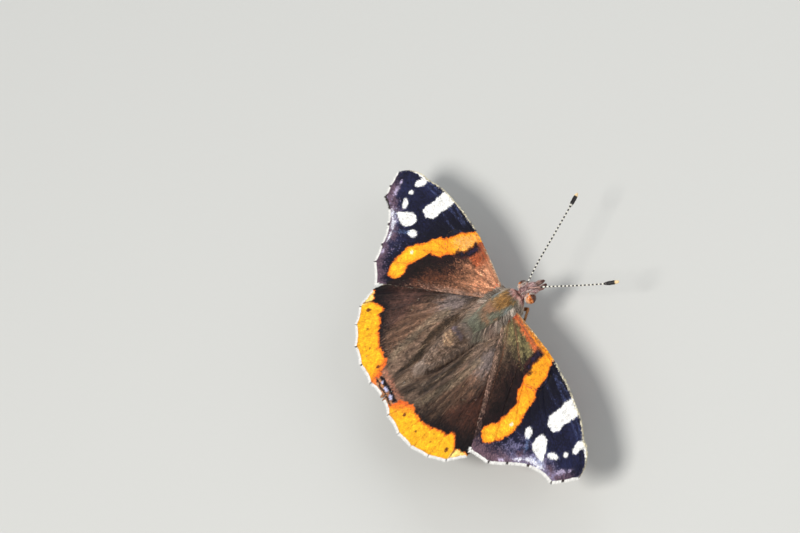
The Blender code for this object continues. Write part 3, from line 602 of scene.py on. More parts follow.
def forewing_under(x, y, side, chance=None):
    """Colours of the forewing's underside, the same on both sides of the insect."""
    large, small = marbled(x, y, 31)
    wobble = 0.5 * (noise(x, y, 0.45, 34) - 0.5)
    paint = Paint(UNDER_DARK, x, chance)
    paint.lay(UNDER_BROWN, smooth(26.0, 29.0, x + 0.35 * y))
    paint.lay(UNDER_GREY, 0.8 * smooth(26.0, 29.0, x + 0.35 * y) * smooth(0.45, 0.7, large))
    paint.lay(UNDER_OCHRE, smooth(26.5, 29.0, x + 0.35 * y) * smooth(0.6, 0.8, small))
    base = smooth(10.0, 6.0, x) * smooth(4.0, 2.0, y)
    paint.lay(UNDER_ROSE, 0.85 * base)
    paint.lay(UNDER_GREY, 0.7 * smooth(9.5, 12.5, y + 0.4 * (16.0 - x)))
    blue = smooth(1.0, 0.6, np.hypot((x - 12.2) / 1.5, (y - 1.2) / 1.5))
    paint.lay(UNDER_BLUE, blue * smooth(0.3, 0.6, small + 0.2))
    paint.lay(UNDER_ROSE, cover(depth_inside(x, y, ORANGE_BAND) + wobble))
    for outline in (COSTAL_BAR, APEX_PATCH, LARGE_SPOT):
        paint.lay(UNDER_WHITE, cover(depth_inside(x, y, outline) - 0.15 + wobble))
    for spot in SMALL_SPOTS:
        paint.lay(UNDER_SPOT, cover(depth_in_spot(x, y, spot) - 0.1))
    paint.lay(UNDER_OCHRE, 0.6 * smooth(0.18, 0.05, FOREWING.vein_distance(x, y)) * smooth(24.0, 28.0, x))
    paint.lay(COSTA_PALE, smooth(0.3, 0.1, line_distance(x, y, FOREWING.front)))
    paint.shade(0.85 + 0.3 * noise(x, y, 0.5, 35))
    return paint.rgb


def hindwing_under(x, y, side, chance=None):
    """Colours of the hindwing's underside, the same on both sides of the insect."""
    large, small = marbled(x, y, 41)
    paint = Paint(UNDER_BROWN, x, chance)
    paint.lay(UNDER_DARK, smooth(0.5, 0.6, large))
    paint.lay(UNDER_MAUVE, 0.7 * smooth(0.55, 0.7, noise(x, y, 2.6, 44)))
    paint.lay(UNDER_GREY, 0.75 * smooth(0.62, 0.72, small))
    rim = line_distance(x, y, HINDWING.margin)
    paint.lay(UNDER_GREY, 0.7 * smooth(2.3, 1.9, rim) * smooth(0.9, 1.3, rim))
    paint.lay(UNDER_DARK, 0.8 * smooth(0.75, 0.55, np.abs(rim - 0.6) * 3.0))
    for spot in EYE_SPOTS:
        depth = depth_in_spot(x, y, spot)
        paint.lay(UNDER_OCHRE, cover(depth + 0.12))
        paint.lay(BLACK, cover(depth - 0.15))
        paint.lay(UNDER_BLUE, cover(depth - 0.5, 0.08))
    paint.lay(UNDER_CREAM, cover(depth_in_spot(x, y, PALE_PATCH) + 0.3 * (small - 0.5)))
    paint.lay(UNDER_OCHRE, 0.7 * smooth(0.2, 0.06, HINDWING.vein_distance(x, y)))
    paint.shade(0.82 + 0.36 * noise(x, y, 0.5, 45))
    return paint.rgb


# Materials.

def add_node(tree, kind, inputs=None, **settings):
    node = tree.nodes.new(kind)
    for name, value in settings.items():
        setattr(node, name, value)
    for name, value in (inputs or {}).items():
        if isinstance(value, bpy.types.NodeSocket):
            tree.links.new(value, node.inputs[name])
        else:
            node.inputs[name].default_value = value
    return node


def linear(rgb):
    """sRGB from 0 to 255 as the linear numbers that a shader reads."""
    c = np.clip(np.asarray(rgb, float) / 255.0, 0.0, 1.0)
    return np.where(c <= 0.04045, c / 12.92, ((c + 0.055) / 1.055) ** 2.4)


def noise_node(tree, place, size, detail):
    """Noise whose grain has this size in millimetres."""
    settings = {"Vector": place, "Scale": 1.0 / (size * MM), "Detail": detail}
    return add_node(tree, "ShaderNodeTexNoise", settings).outputs["Fac"]


def map_range(tree, value, low, high, to_low, to_high):
    """A value of the shader moved from one range to another."""
    settings = {"Value": value, "From Min": low, "From Max": high, "To Min": to_low, "To Max": to_high}
    return add_node(tree, "ShaderNodeMapRange", settings).outputs["Result"]


def bump_node(tree, height, strength, depth):
    """Relief of this depth in millimetres."""
    settings = {"Height": height, "Strength": strength, "Distance": depth * MM}
    return add_node(tree, "ShaderNodeBump", settings).outputs["Normal"]


def new_material(name):
    """A new material, with its node tree, its surface shader and the place on the piece."""
    material = bpy.data.materials.new(name)
    material.use_nodes = True
    tree = material.node_tree
    place = add_node(tree, "ShaderNodeTexCoord").outputs["Object"]
    return material, tree, tree.nodes["Principled BSDF"], place


def tinted_material(name, grain, roughness, spread=0.25, bump=0.02, sheen=0.0, sheen_tint=WHITE, shine=0.3):
    """A surface in the colours that its mesh carries, with grain in its colour, gloss and relief.
    The grain's size and the bump's depth are in millimetres."""
    material, tree, body, place = new_material(name)
    fine = noise_node(tree, place, grain, 3.0)
    broad = noise_node(tree, place, 5.0 * grain, 2.0)
    tint = add_node(tree, "ShaderNodeAttribute", attribute_name="tint").outputs["Color"]
    light = map_range(tree, fine, 0.25, 0.75, 1.0 - spread, 1.0 + spread)
    wide = map_range(tree, broad, 0.3, 0.7, 1.0 - 0.4 * spread, 1.0 + 0.4 * spread)
    both = add_node(tree, "ShaderNodeMath", {0: light, 1: wide}, operation="MULTIPLY").outputs["Value"]
    colour = add_node(tree, "ShaderNodeVectorMath", {0: tint, "Scale": both}, operation="SCALE")
    rough = map_range(tree, fine, 0.3, 0.7, roughness - 0.08, roughness + 0.08)
    tree.links.new(colour.outputs["Vector"], body.inputs["Base Color"])
    tree.links.new(rough, body.inputs["Roughness"])
    tree.links.new(bump_node(tree, fine, 0.6, bump), body.inputs["Normal"])
    body.inputs["Specular IOR Level"].default_value = shine
    body.inputs["Sheen Weight"].default_value = sheen
    body.inputs["Sheen Roughness"].default_value = 0.4
    body.inputs["Sheen Tint"].default_value = (*linear(sheen_tint), 1.0)
    return material


# Meshes.

def spread_out(points, side):
    """Places (out, back, up) of one side as metres in the frame."""
    return (np.asarray(points, float) * (side, 1.0, 1.0) + (0.0, BACK_SHIFT, WING_LEVEL)) * MM


def add_mesh(name, points, triangles, tints, material, uv=None, smooth_faces=True, replaces=()):
    """A piece from places in metres, one tint for each, and triangles, which are turned outward."""
    corners = points[triangles]
    volume = np.einsum("ij,ij->", corners[:, 0], np.cross(corners[:, 1], corners[:, 2]))
    if volume < 0.0:
        triangles = triangles[:, ::-1]
    mesh = bpy.data.meshes.new(name)
    mesh.vertices.add(len(points))
    mesh.vertices.foreach_set("co", points.astype(np.float32).ravel())
    mesh.loops.add(triangles.size)
    mesh.loops.foreach_set("vertex_index", triangles.astype(np.int32).ravel())
    mesh.polygons.add(len(triangles))
    mesh.polygons.foreach_set("loop_start", np.arange(0, triangles.size, 3, dtype=np.int32))
    mesh.update(calc_edges=True)
    mesh.polygons.foreach_set("use_smooth", np.full(len(triangles), smooth_faces))
    attribute = mesh.color_attributes.new("tint", "FLOAT_COLOR", "POINT")
    rgba = np.hstack([linear(tints), np.ones((len(points), 1))])
    attribute.data.foreach_set("color", rgba.astype(np.float32).ravel())
    if uv is not None:
        layer = mesh.uv_layers.new(name="OFBake")
        layer.uv.foreach_set("vector", uv[triangles.ravel()].astype(np.float32).ravel())
    mesh.materials.append(material)
    piece = bpy.data.objects.new(name, mesh)
    bpy.context.scene.collection.objects.link(piece)
    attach(piece, "root")
    if replaces:
        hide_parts(*replaces)
    return piece


# Each tuft takes a patch this wide on the unwrap of the skin.
PATCH = 0.003
# A wing's unwrap is its plan, drawn at this many millimetres for the whole map.
PLAN_SPAN = 36.0
PLAN_CORNER = (-0.5, -3.0)


def plan_uv(x, y):
    """A place of the wing on its unwrap."""
    return np.stack([(x - PLAN_CORNER[0]) / PLAN_SPAN, (y - PLAN_CORNER[1]) / PLAN_SPAN], -1)


# One scale: root, two shoulders, two tips and the crest, as (along, across, up).
SCALE_SHAPE = np.array(((0.0, 0.0, 0.0), (0.5, -1.0, 0.5), (1.0, -0.42, 1.0), (1.0, 0.42, 1.0),
                        (0.5, 1.0, 0.5), (0.6, 0.0, 0.6)))
SCALE_FACES = np.array(((5, 0, 1), (5, 1, 2), (5, 2, 3), (5, 3, 4), (5, 4, 0),
                        (0, 4, 3), (0, 3, 2), (0, 2, 1)))
SCALE_THICK = 0.022
SHORTEST_SCALE = 0.08
# Painted shade: each scale is darker at its root, which lies under the scales before it.
SCALE_SHADES = np.array((0.8, 0.96, 1.06, 1.06, 0.96, 1.04))


def scale_meshes(roots, along, across, up, length, width, lift):
    """Closed scales at many roots. Returns their places and triangles."""
    shape = SCALE_SHAPE
    points = (roots[:, None] + along[:, None] * (shape[None, :, 0] * length[:, None])[..., None]
              + across[:, None] * (shape[None, :, 1] * 0.5 * width[:, None])[..., None]
              + up[:, None] * (shape[None, :, 2] * lift[:, None])[..., None])
    points[:, 5] += up * SCALE_THICK
    count = len(shape)
    faces = SCALE_FACES[None] + count * np.arange(len(roots))[:, None, None]
    return points.reshape(-1, 3), faces.reshape(-1, 3)


# A strand is this much narrower at its root.
ROOT_NARROWING = 0.7


def strand_meshes(roots, along, up, length, width, lift, bend, sway, steps=3, flat=0.5):
    """Thin tapered strands of triangular section, which rise at their root by lift, turn down by bend
    and lean aside by sway, each as a share of the length. Returns their places and triangles."""
    across = unit(np.cross(up, along))

    def at(t):
        return (roots + along * (length * t)[:, None] + up * (length * (lift * t - bend * t * t))[:, None]
                + across * (length * sway * t * t)[:, None])

    rings = []
    for step in range(steps):
        t = step / steps
        half = 0.5 * width * (ROOT_NARROWING if step == 0 else 1.0 - t ** 1.6)
        centre = at(t)
        rings += [centre - across * half[:, None], centre + across * half[:, None],
                  centre + up * (2.0 * flat * half)[:, None]]
    points = np.stack([*rings, at(1.0)], 1)
    faces = [(0, 2, 1)]
    for step in range(steps - 1):
        a = 3 * step
        for i, j in ((0, 1), (1, 2), (2, 0)):
            faces += [(a + i, a + j, a + 3 + j), (a + i, a + 3 + j, a + 3 + i)]
    last = 3 * (steps - 1)
    faces += [(last, last + 1, last + 3), (last + 1, last + 2, last + 3), (last + 2, last, last + 3)]
    count = 3 * steps + 1
    triangles = np.array(faces)[None] + count * np.arange(len(roots))[:, None, None]
    return points.reshape(-1, 3), triangles.reshape(-1, 3)


def patch_uv(centres, count):
    """Each tuft's own small patch, its places set round a ring inside it."""
    turn = 2.0 * math.pi * np.arange(count) / count
    ring = 0.5 * PATCH * np.stack([np.cos(turn), np.sin(turn)], 1)
    return (centres[:, None] + ring[None]).reshape(-1, 2)


def strand_shades(steps, root, tip):
    """Shades along a strand of three places a ring, from a darker root, under the hair around it, to a
    lighter tip: painted shade.
    """
    return np.array([*np.repeat(np.linspace(root, tip, steps), 3), tip + 0.03])


PLAIN_STRAND = np.ones(7)


def add_tufts(name, points, triangles, rgb, shades, roots_uv, material):
    """Adds a coat piece. Each tuft has one colour, with painted shade along it from its shades, and its own
    patch at its root's place on the unwrap of the skin."""
    tints = (rgb[:, None] * shades[None, :, None]).reshape(-1, 3)
    add_mesh(name, points, triangles, tints, material, patch_uv(roots_uv, len(shades)),
             smooth_faces=False)


def loft_faces(rings, sides):
    """Triangles of a closed loft. Its places are the rings in turn, then the first pole and the last."""
    faces = []
    first = rings * sides
    for i in range(sides):
        j = (i + 1) % sides
        for ring in range(rings - 1):
            a, b = ring * sides, (ring + 1) * sides
            faces += [(a + i, a + j, b + j), (a + i, b + j, b + i)]
        end = (rings - 1) * sides
        faces += [(first, j, i), (first + 1, end + i, end + j)]
    return np.array(faces)


# Pieces of the wings.

def wing_skin(wing, word, paint_top, paint_under, material, node):
    """The membrane, a closed thin sheet with both faces painted."""
    outline = wing.outline
    low, high = outline.min(0), outline.max(0)
    rows = np.arange(low[1], high[1], MEMBRANE_STEP * MEMBRANE_ROW)
    inner = []
    for number, back in enumerate(rows):
        outs = np.arange(low[0], high[0], MEMBRANE_STEP) + (number % 2) * 0.5 * MEMBRANE_STEP
        inner.append(np.stack([outs, np.full_like(outs, back)], 1))
    inner = np.vstack(inner)
    inner = inner[depth_inside(inner[:, 0], inner[:, 1], outline) > EDGE_CLEAR]
    flat = [Vector(point) for point in np.vstack([outline, inner])]
    ring = [(i, (i + 1) % len(outline)) for i in range(len(outline))]
    flat, _, faces, *_ = delaunay_2d_cdt(flat, ring, [], 1, 1e-5)
    x, y = np.array(flat).T
    faces = np.array([tuple(face) for face in faces])
    middle = wing.height(x, y)
    half = MEMBRANE_HALF * smooth(-0.1, 0.5, depth_inside(x, y, outline)) + 0.01
    upper = spread_out(np.stack([x, y, middle + half], 1), SIDES[word])
    lower = spread_out(np.stack([x, y, middle - half], 1), SIDES[word])
    count = len(x)
    edges = np.vstack([faces[:, [0, 1]], faces[:, [1, 2]], faces[:, [2, 0]]])
    _, first, times = np.unique(np.sort(edges, axis=1), axis=0, return_index=True, return_counts=True)
    rim = edges[first[times == 1]]
    sides = np.vstack([np.stack([rim[:, 1], rim[:, 0], rim[:, 0] + count], 1),
                       np.stack([rim[:, 1], rim[:, 0] + count, rim[:, 1] + count], 1)])
    triangles = np.vstack([faces, faces[:, ::-1] + count, sides])
    tints = np.vstack([paint_top(x, y, word), paint_under(x, y, word)])
    halves = plan_uv(x, y) * (0.5, 1.0)
    uv = np.vstack([halves, halves + (0.5, 0.0)])
    add_mesh(f"{node}_skin", np.vstack([upper, lower]), triangles, tints, material, uv,
             replaces=[node])


def wing_frame(wing, places, heading, facing):
    """Roots on the skin's upper or under face, with the directions along, across and away from it."""
    x, y = places.T
    middle = wing.height(x, y)
    slope_x = (wing.height(x + SLOPE_STEP, y) - middle) / SLOPE_STEP
    slope_y = (wing.height(x, y + SLOPE_STEP) - middle) / SLOPE_STEP
    up = unit(np.stack([-slope_x, -slope_y, np.ones_like(x)], 1))
    rise = heading[:, 0] * slope_x + heading[:, 1] * slope_y
    along = unit(np.column_stack([heading, rise]))
    roots = np.stack([x, y, middle + facing * MEMBRANE_HALF * 0.6], 1)
    return roots, along, np.cross(up, along), up * facing


def wing_scales(wing, word, face, paint, row, column, material, seed):
    """Rows of overlapping scales over one face of a wing."""
    rng = np.random.default_rng(seed)
    places, heading = wing.places(row, column, rng)
    roots, along, across, up = wing_frame(wing, places, heading, 1.0 if face == "top" else -1.0)
    count = len(places)
    length = row * rng.uniform(2.0, 2.6, count)
    width = column * rng.uniform(1.25, 1.6, count)
    inside = depth_inside(*places.T, wing.outline)
    past = -np.minimum(depth_inside(*(places + heading * length[:, None]).T, wing.outline), 0.0)
    length = np.maximum(length * inside / (inside + past + 1e-6), SHORTEST_SCALE)
    lift = rng.uniform(0.035, 0.065, count)
    along = leaned(along, across, rng.normal(0.0, 0.1, count))
    points, triangles = scale_meshes(roots, along, across, up, length, width, lift)
    middles = places + heading * (0.6 * length)[:, None]
    tints = paint(*middles.T, word, rng.random(count))
    tints = tints * rng.uniform(0.86, 1.12, count)[:, None]
    add_tufts(f"{wing.kind}_{word}_scales_{face}", spread_out(points, SIDES[word]), triangles, tints,
              SCALE_SHADES, plan_uv(*places.T), material)


FRINGE_STEP = 0.055
FRINGE_LENGTH = 0.72
FRINGE_ROOT = 0.12
# The height and share of the length of its two layers.
FRINGE_LAYERS = ((0.03, 1.0), (-0.03, 0.8))
# Its direction is evened out over this many steps on each side.
FRINGE_EASE = 8
FRINGE_DARK = (44, 32, 34)
FRINGE_DARK_HALF = {"forewing": 0.16, "hindwing": 0.09}
# Along this stretch the left forewing's fringe is brown.
FRINGE_GAP = ((30.9, 8.0), (29.0, 8.5))


def wing_fringe(wing, word, material, seed):
    """Two layers of narrow scales along the outer margin, white with a dark tuft at each vein's end."""
    rng = np.random.default_rng(seed)
    round_corner = wing.rear[2:5] if wing.kind == "forewing" else wing.rear[:0]
    edge = curve(np.vstack([wing.margin, round_corner]), FRINGE_STEP)
    even = np.ones(2 * FRINGE_EASE + 1) / (2 * FRINGE_EASE + 1)
    padded = np.pad(wing.outward(edge), ((FRINGE_EASE, FRINGE_EASE), (0, 0)), mode="edge")
    away = np.stack([np.convolve(column, even, "valid") for column in padded.T], 1)
    count = len(edge)
    near = np.min(np.linalg.norm(edge[:, None] - wing.vein_ends[None], axis=2), axis=1)
    aside = np.sqrt(np.maximum(near ** 2 - MARGIN_INSET ** 2, 0.0))
    half = FRINGE_DARK_HALF[wing.kind]
    layers = []
    for level, share in FRINGE_LAYERS:
        places = edge - away * FRINGE_ROOT + rng.normal(0.0, 0.02, edge.shape)
        turn = rng.normal(0.0, 0.16, count)[:, None]
        heading = unit(away + np.stack([-away[:, 1], away[:, 0]], 1) * turn)
        dark = smooth(half + 0.12, half, aside) > rng.random(count)
        if wing.kind == "forewing" and word == "left":
            dark |= smooth(0.75, 0.5, line_distance(*edge.T, FRINGE_GAP)) > rng.random(count)
        length = FRINGE_LENGTH * share * rng.uniform(0.82, 1.0, count) * np.where(dark, 0.85, 1.0)
        roots = np.column_stack([places, wing.height(*places.T) + level])
        along = np.column_stack([heading, rng.normal(0.0, 0.06, count)])
        up = np.tile((0.0, 0.0, 1.0), (count, 1))
        points, triangles = strand_meshes(roots, along, up, length, rng.uniform(0.13, 0.19, count),
                                          np.zeros(count), np.full(count, 0.02),
                                          rng.normal(0.0, 0.05, count), steps=2, flat=0.25)
        tints = np.where(dark[:, None], np.array(FRINGE_DARK), np.array(WHITE))
        tints = tints * rng.uniform(0.9, 1.0, count)[:, None]
        layers.append((points, triangles + len(layers) * len(points), tints, plan_uv(*places.T)))
    points, triangles, tints, roots_uv = (np.vstack(parts) for parts in zip(*layers))
    add_tufts(f"{wing.kind}_{word}_fringe", spread_out(points, SIDES[word]), triangles, tints, PLAIN_STRAND,
              roots_uv, material)


# The body: one skin over head, thorax and abdomen.

BODY_NODES = ("head", "thorax", "abdomen")
# How deep the skin lies inside the solids, which reach to the ends of the hair.
COAT_DEPTHS = {"head": 0.17, "thorax": 0.36, "abdomen": 0.22}
BODY_STEP = 0.12
BODY_SIDES = 64
BODY_EASE = 0.22
BODY_WAIST = -0.6
# Between these places the thorax passes into the head.
NECK = (-1.6, -2.0)
END_ROUNDING = 0.45
ABDOMEN_FRONT = 6.8
ABDOMEN_REAR = 16.3
SEGMENTS = 7
SEGMENT_GROOVE = 0.05

# The head is held tilted, its left side higher, and turned a little to its right.
HEAD_PIVOT = np.array((0.0, -1.7, -1.0))
HEAD_LIFT = np.array((0.0, 0.0, 0.15))
HEAD_TURN = np.array(Matrix.Rotation(math.radians(-3.0), 3, "Z")
                     @ Matrix.Rotation(math.radians(-8.0), 3, "Y"))


def turned(points):
    """Places of the straight head, as they are in its held pose."""
    return (np.asarray(points, float) - HEAD_PIVOT) @ HEAD_TURN.T + HEAD_PIVOT + HEAD_LIFT


def straightened(points):
    """The way back, from the held pose to the straight head."""
    return (points - HEAD_PIVOT - HEAD_LIFT) @ HEAD_TURN + HEAD_PIVOT


def on_side(points, side):
    """Places of one side of the straight head, in its held pose."""
    return turned(np.asarray(points, float) * (side, 1.0, 1.0))


def node_places(name):
    """A node's own points as (out, back, up)."""
    points = np.array([vertex.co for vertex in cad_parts[name].data.vertices]) / MM
    return points - (0.0, BACK_SHIFT, WING_LEVEL)


def body_profile():
    """The skin's (half width, top, bottom) all along the body, read from the solids' cross sections,
    less the coat's depth, and eased so that no step shows between them."""
    rows = []
    for name in BODY_NODES:
        points = straightened(node_places(name)) if name == "head" else node_places(name)
        depth = COAT_DEPTHS[name]
        for back in np.unique(np.round(points[:, 1], 2)):
            ring = points[np.abs(points[:, 1] - back) < 0.02]
            rows.append((back, ring[:, 0].max() - depth, ring[:, 2].max() - depth, ring[:, 2].min() + depth))
    rows = np.array(sorted(rows))
    places = np.arange(rows[0, 0], rows[-1, 0] + BODY_STEP, BODY_STEP)
    table = np.stack([np.interp(places, rows[:, 0], rows[:, i]) for i in (1, 2, 3)], 1)
    reach = np.arange(-5, 6) * BODY_STEP
    weights = np.exp(-(reach / BODY_EASE) ** 2)
    padded = np.pad(table, ((5, 5), (0, 0)), mode="edge")
    table = np.stack([np.convolve(column, weights / weights.sum(), "valid") for column in padded.T], 1)
    return places, table


BODY_PLACES, BODY_TABLE = body_profile()
BODY_FRONT, BODY_REAR = BODY_PLACES[0], BODY_PLACES[-1]


def from_joint(back):
    """Distance from the nearest joint of the abdomen, as a share of one segment."""
    joint = (back - ABDOMEN_FRONT) / (ABDOMEN_REAR - ABDOMEN_FRONT) * SEGMENTS
    return np.abs(joint - np.round(joint))


def body_place(back, angle):
    """A place on the skin. The angle is 0 on top and a quarter turn on the insect's left."""
    half, top, bottom = (np.interp(back, BODY_PLACES, column) for column in BODY_TABLE.T)
    middle = smooth(3.5, 7.0, back) + smooth(*NECK, back)
    waist = BODY_WAIST + (0.5 * (top + bottom) - BODY_WAIST) * middle
    ends = np.clip(np.minimum(back - BODY_FRONT, BODY_REAR - back) / END_ROUNDING, 0.0, 1.0)
    size = np.sqrt(1.0 - (1.0 - ends) ** 2)
    aside = from_joint(back) * (ABDOMEN_REAR - ABDOMEN_FRONT) / SEGMENTS
    groove = SEGMENT_GROOVE * np.exp(-(aside / 0.13) ** 2) * smooth(7.2, 7.8, back)
    size = size * (1.0 - groove)
    reach = np.where(np.cos(angle) > 0.0, top - waist, waist - bottom)
    points = np.stack([half * np.sin(angle) * size, back, waist + reach * np.cos(angle) * size], -1)
    return points + (turned(points) - points) * smooth(*NECK, back)[..., None]


def body_frame(back, angle):
    """Places on the skin, with the directions towards the rear, round the body and away from it."""
    rearward = unit(body_place(back + 0.05, angle) - body_place(back - 0.05, angle))
    sideward = body_place(back, angle + 0.03) - body_place(back, angle - 0.03)
    up = unit(np.cross(sideward, rearward))
    return body_place(back, angle), rearward, np.cross(rearward, up), up


THORAX_GOLD = (156, 116, 66)
THORAX_RUST = (142, 108, 84)
THORAX_GREEN = (106, 106, 92)
THORAX_SIDE = (148, 134, 120)
THORAX_BLUE = (136, 146, 148)
THORAX_LILAC = (156, 142, 150)
COLLAR_PINK = (180, 132, 124)
COLLAR_DARK = (84, 54, 50)
HEAD_PINK = (184, 148, 148)
HEAD_PALE = (206, 190, 182)
BELLY_GREY = (150, 138, 122)
ABDOMEN_BROWN = (98, 80, 68)
ABDOMEN_LIGHT = (144, 123, 108)
ABDOMEN_DARK = (70, 56, 48)
ABDOMEN_TAN = (162, 132, 106)
ABDOMEN_LILAC = (96, 84, 88)
WAIST_GREY = (128, 112, 104)
TAIL_PALE = (160, 142, 130)


def body_paint(back, angle, chance=None):
    """Colours of the body, for the skin and for the hair on it."""
    side = np.abs(angle)
    patch = body_noise(back, 3.0 * angle, 0.55, 51)
    fine = body_noise(back, 5.0 * angle, 0.22, 52, 30.0)
    drift = body_noise(back, 2.0 * angle, 1.3, 56) - 0.5
    plain = 0.55 * (patch - 0.5) + 0.25 * (fine - 0.5)
    soft = plain + 0.6 * drift
    paint = Paint(THORAX_GREEN, back, chance)
    paint.lay(THORAX_SIDE, smooth(0.95, 1.25, side + 1.3 * soft) * smooth(6.0, 4.0, back))
    paint.lay(THORAX_RUST, smooth(0.75, 0.35, side + 1.3 * soft) * smooth(1.3, 2.3, back + soft)
              * smooth(5.2, 3.6, back + soft))
    paint.lay(THORAX_GOLD, smooth(0.78, 0.42, side + 1.3 * plain) * smooth(-0.9, -0.3, back + soft)
              * smooth(2.5, 1.3, back + soft))
    paint.lay(THORAX_BLUE, 0.8 * smooth(0.4, 0.2, np.hypot(0.45 * (back - 1.0), side - 0.95) + plain))
    paint.lay(HEAD_PALE, 0.35 * smooth(0.4, 0.2, np.hypot(0.5 * (back - 0.2), side - 1.2) + soft))
    paint.lay(THORAX_LILAC, 0.9 * smooth(0.65, 0.3, np.hypot(back + 0.85, 1.6 * (angle - 0.12)) + plain))
    collar = smooth(-0.75, -1.1, back + soft)
    paint.lay(COLLAR_PINK, collar)
    paint.lay(HEAD_PALE, 0.45 * collar * smooth(0.55, 0.75, fine))
    neck = back + 0.4 * soft
    paint.lay(COLLAR_DARK, 0.75 * smooth(-1.55, -1.7, neck) * smooth(-2.05, -1.85, neck))
    paint.lay(HEAD_PINK, smooth(-1.95, -2.15, back))
    paint.lay(HEAD_PALE, 0.8 * smooth(-1.95, -2.15, back) * smooth(0.24, 0.1, np.abs(side - 0.8 + soft)))
    paint.lay(HEAD_PALE, 0.6 * smooth(-1.9, -2.1, back) * smooth(0.6, 0.8, fine))
    paint.lay(COLLAR_DARK, 0.7 * smooth(-1.9, -2.1, back) * smooth(0.38, 0.24, fine))
    abdomen = smooth(6.4, 7.2, back)
    paint.lay(ABDOMEN_BROWN, abdomen)
    paint.lay(THORAX_GREEN, smooth(8.6, 7.0, back + 2.0 * soft) * abdomen * 0.8)
    paint.lay(ABDOMEN_LIGHT, abdomen * (0.25 + 0.75 * smooth(8.0, 15.0, back)) * smooth(0.35, 0.65, fine))
    paint.lay(ABDOMEN_DARK, abdomen * 0.6 * smooth(0.14, 0.04, from_joint(back)) * smooth(15.5, 13.5, back))
    paint.lay(ABDOMEN_DARK, abdomen * 0.5 * smooth(0.35, 0.15, fine))
    lilac = smooth(0.45, 0.2, np.abs(back - 8.75 + soft)) * smooth(1.0, 0.6, side)
    paint.lay(ABDOMEN_LILAC, abdomen * lilac)
    tan = smooth(1.05, 0.7, np.hypot((back - 10.1) / 1.25, angle / 0.95) + 0.9 * soft)
    paint.lay(ABDOMEN_TAN, abdomen * tan * (0.75 + 0.25 * fine))
    paint.lay(TAIL_PALE, smooth(14.4, 16.0, back + soft) * 0.85)
    paint.lay(WAIST_GREY, smooth(6.6, 7.3, back) * smooth(8.4, 7.6, back + soft) * 0.6)
    paint.lay(BELLY_GREY, smooth(1.7, 2.1, side) * 0.85 * (0.6 + 0.4 * patch))
    paint.shade(0.88 + 0.24 * patch)
    return paint.rgb


def fur_shade(back, angle, seed):
    """Light and dark locks of hair, and on the abdomen fine ripples that bow to the rear."""
    locks = 0.5 + 0.6 * body_noise(back, 6.0 * angle, 0.42, seed, 40.0)
    locks = locks + 0.4 * body_noise(back, 4.0 * angle, 0.2, seed + 1, 40.0)
    bow = back + 0.4 * angle ** 2 + 0.2 * body_noise(back, 2.0 * angle, 0.5, 54)
    ripple = 0.36 * np.sin(2.0 * math.pi * bow / 0.47) * smooth(8.2, 9.0, back) * smooth(16.2, 14.5, back)
    return locks + ripple


def body_noise(back, across, size, seed, shift=20.0):
    """Noise over the body. The shift tells which part of it is used."""
    return noise(back + 20.0, across + shift, size, seed)


def body_uv(back, angle):
    """A place of the body on its unwrap, from how far back and round it is."""
    return np.stack([0.5 + angle / (2.0 * math.pi), (back - BODY_FRONT) / (BODY_REAR - BODY_FRONT)], -1)


def body_skin(material):
    """The closed skin, a loft of fine rings with a pole at each end."""
    inner = np.linspace(BODY_FRONT + 0.01, BODY_REAR - 0.01, round((BODY_REAR - BODY_FRONT) / BODY_STEP))
    turn = -math.pi + 2.0 * math.pi * np.arange(BODY_SIDES) / BODY_SIDES
    back, angle = (grid.ravel() for grid in np.meshgrid(inner, turn, indexing="ij"))
    back = np.concatenate([back, (BODY_FRONT, BODY_REAR)])
    angle = np.concatenate([angle, (0.0, 0.0)])
    points = body_place(back, angle)
    points[:, 2] += 0.03 * (body_noise(back, 3.0 * angle, 0.35, 53) - 0.5)
    add_mesh("body_skin", spread_out(points, 1.0), loft_faces(len(inner), BODY_SIDES),
             body_paint(back, angle), material, body_uv(back, angle), replaces=BODY_NODES)


def body_hair(name, backs, count, lengths, widths, lifts, lean, material, seed, steps=3,
              forward=False, turns=(-math.pi, math.pi), flanks=None):
    """Hair over one stretch of the body, which lies towards the rear in small clumps, or forward on the
    face. It grows within the given turns, or on both flanks alone."""
    rng = np.random.default_rng(seed)
    tries = 4 * count
    back = rng.uniform(*backs, tries)
    angle = rng.uniform(*turns, tries)
    if flanks:
        angle = rng.choice((-1.0, 1.0), tries) * rng.uniform(*flanks, tries)
    girth = np.interp(back, BODY_PLACES, BODY_TABLE[:, 0])
    keep = np.flatnonzero(rng.random(tries) < girth / girth.max())[:count]
    back, angle = back[keep], angle[keep]
    roots, rearward, sideward, up = body_frame(back, angle)
    number = len(back)
    clump = body_noise(back, 3.0 * angle, 0.3, seed + 1, 40.0) - 0.5
    turn = lean * np.sin(angle) + 0.7 * clump + rng.normal(0.0, 0.12, number)
    if forward:
        rearward = -rearward
    along = rearward * np.cos(turn)[:, None] + sideward * np.sin(turn)[:, None]
    length = rng.uniform(*lengths, number)
    lift = rng.uniform(*lifts, number)
    points, triangles = strand_meshes(roots - up * 0.03, along, up, length, rng.uniform(*widths, number),
                                      lift, 0.55 * lift, rng.normal(0.0, 0.12, number), steps=steps)
    tip = back + (-0.7 if forward else 0.7) * length
    tints = body_paint(tip, angle, rng.random(number)) * fur_shade(tip, angle, 57)[:, None]
    tints = tints * rng.uniform(0.88, 1.12, number)[:, None]
    add_tufts(name, spread_out(points, 1.0), triangles, tints, strand_shades(steps, 0.78, 1.12),
              body_uv(back, angle), material)


SHOULDER_BROWN = (150, 120, 106)
SHOULDER_PALE = (196, 184, 174)
SHOULDER_DARK = (84, 70, 62)
# Painted shade: darker towards the root.
SHOULDER_SHADES = np.array([*np.repeat((0.85, 1.0, 1.06), 3), 1.1])


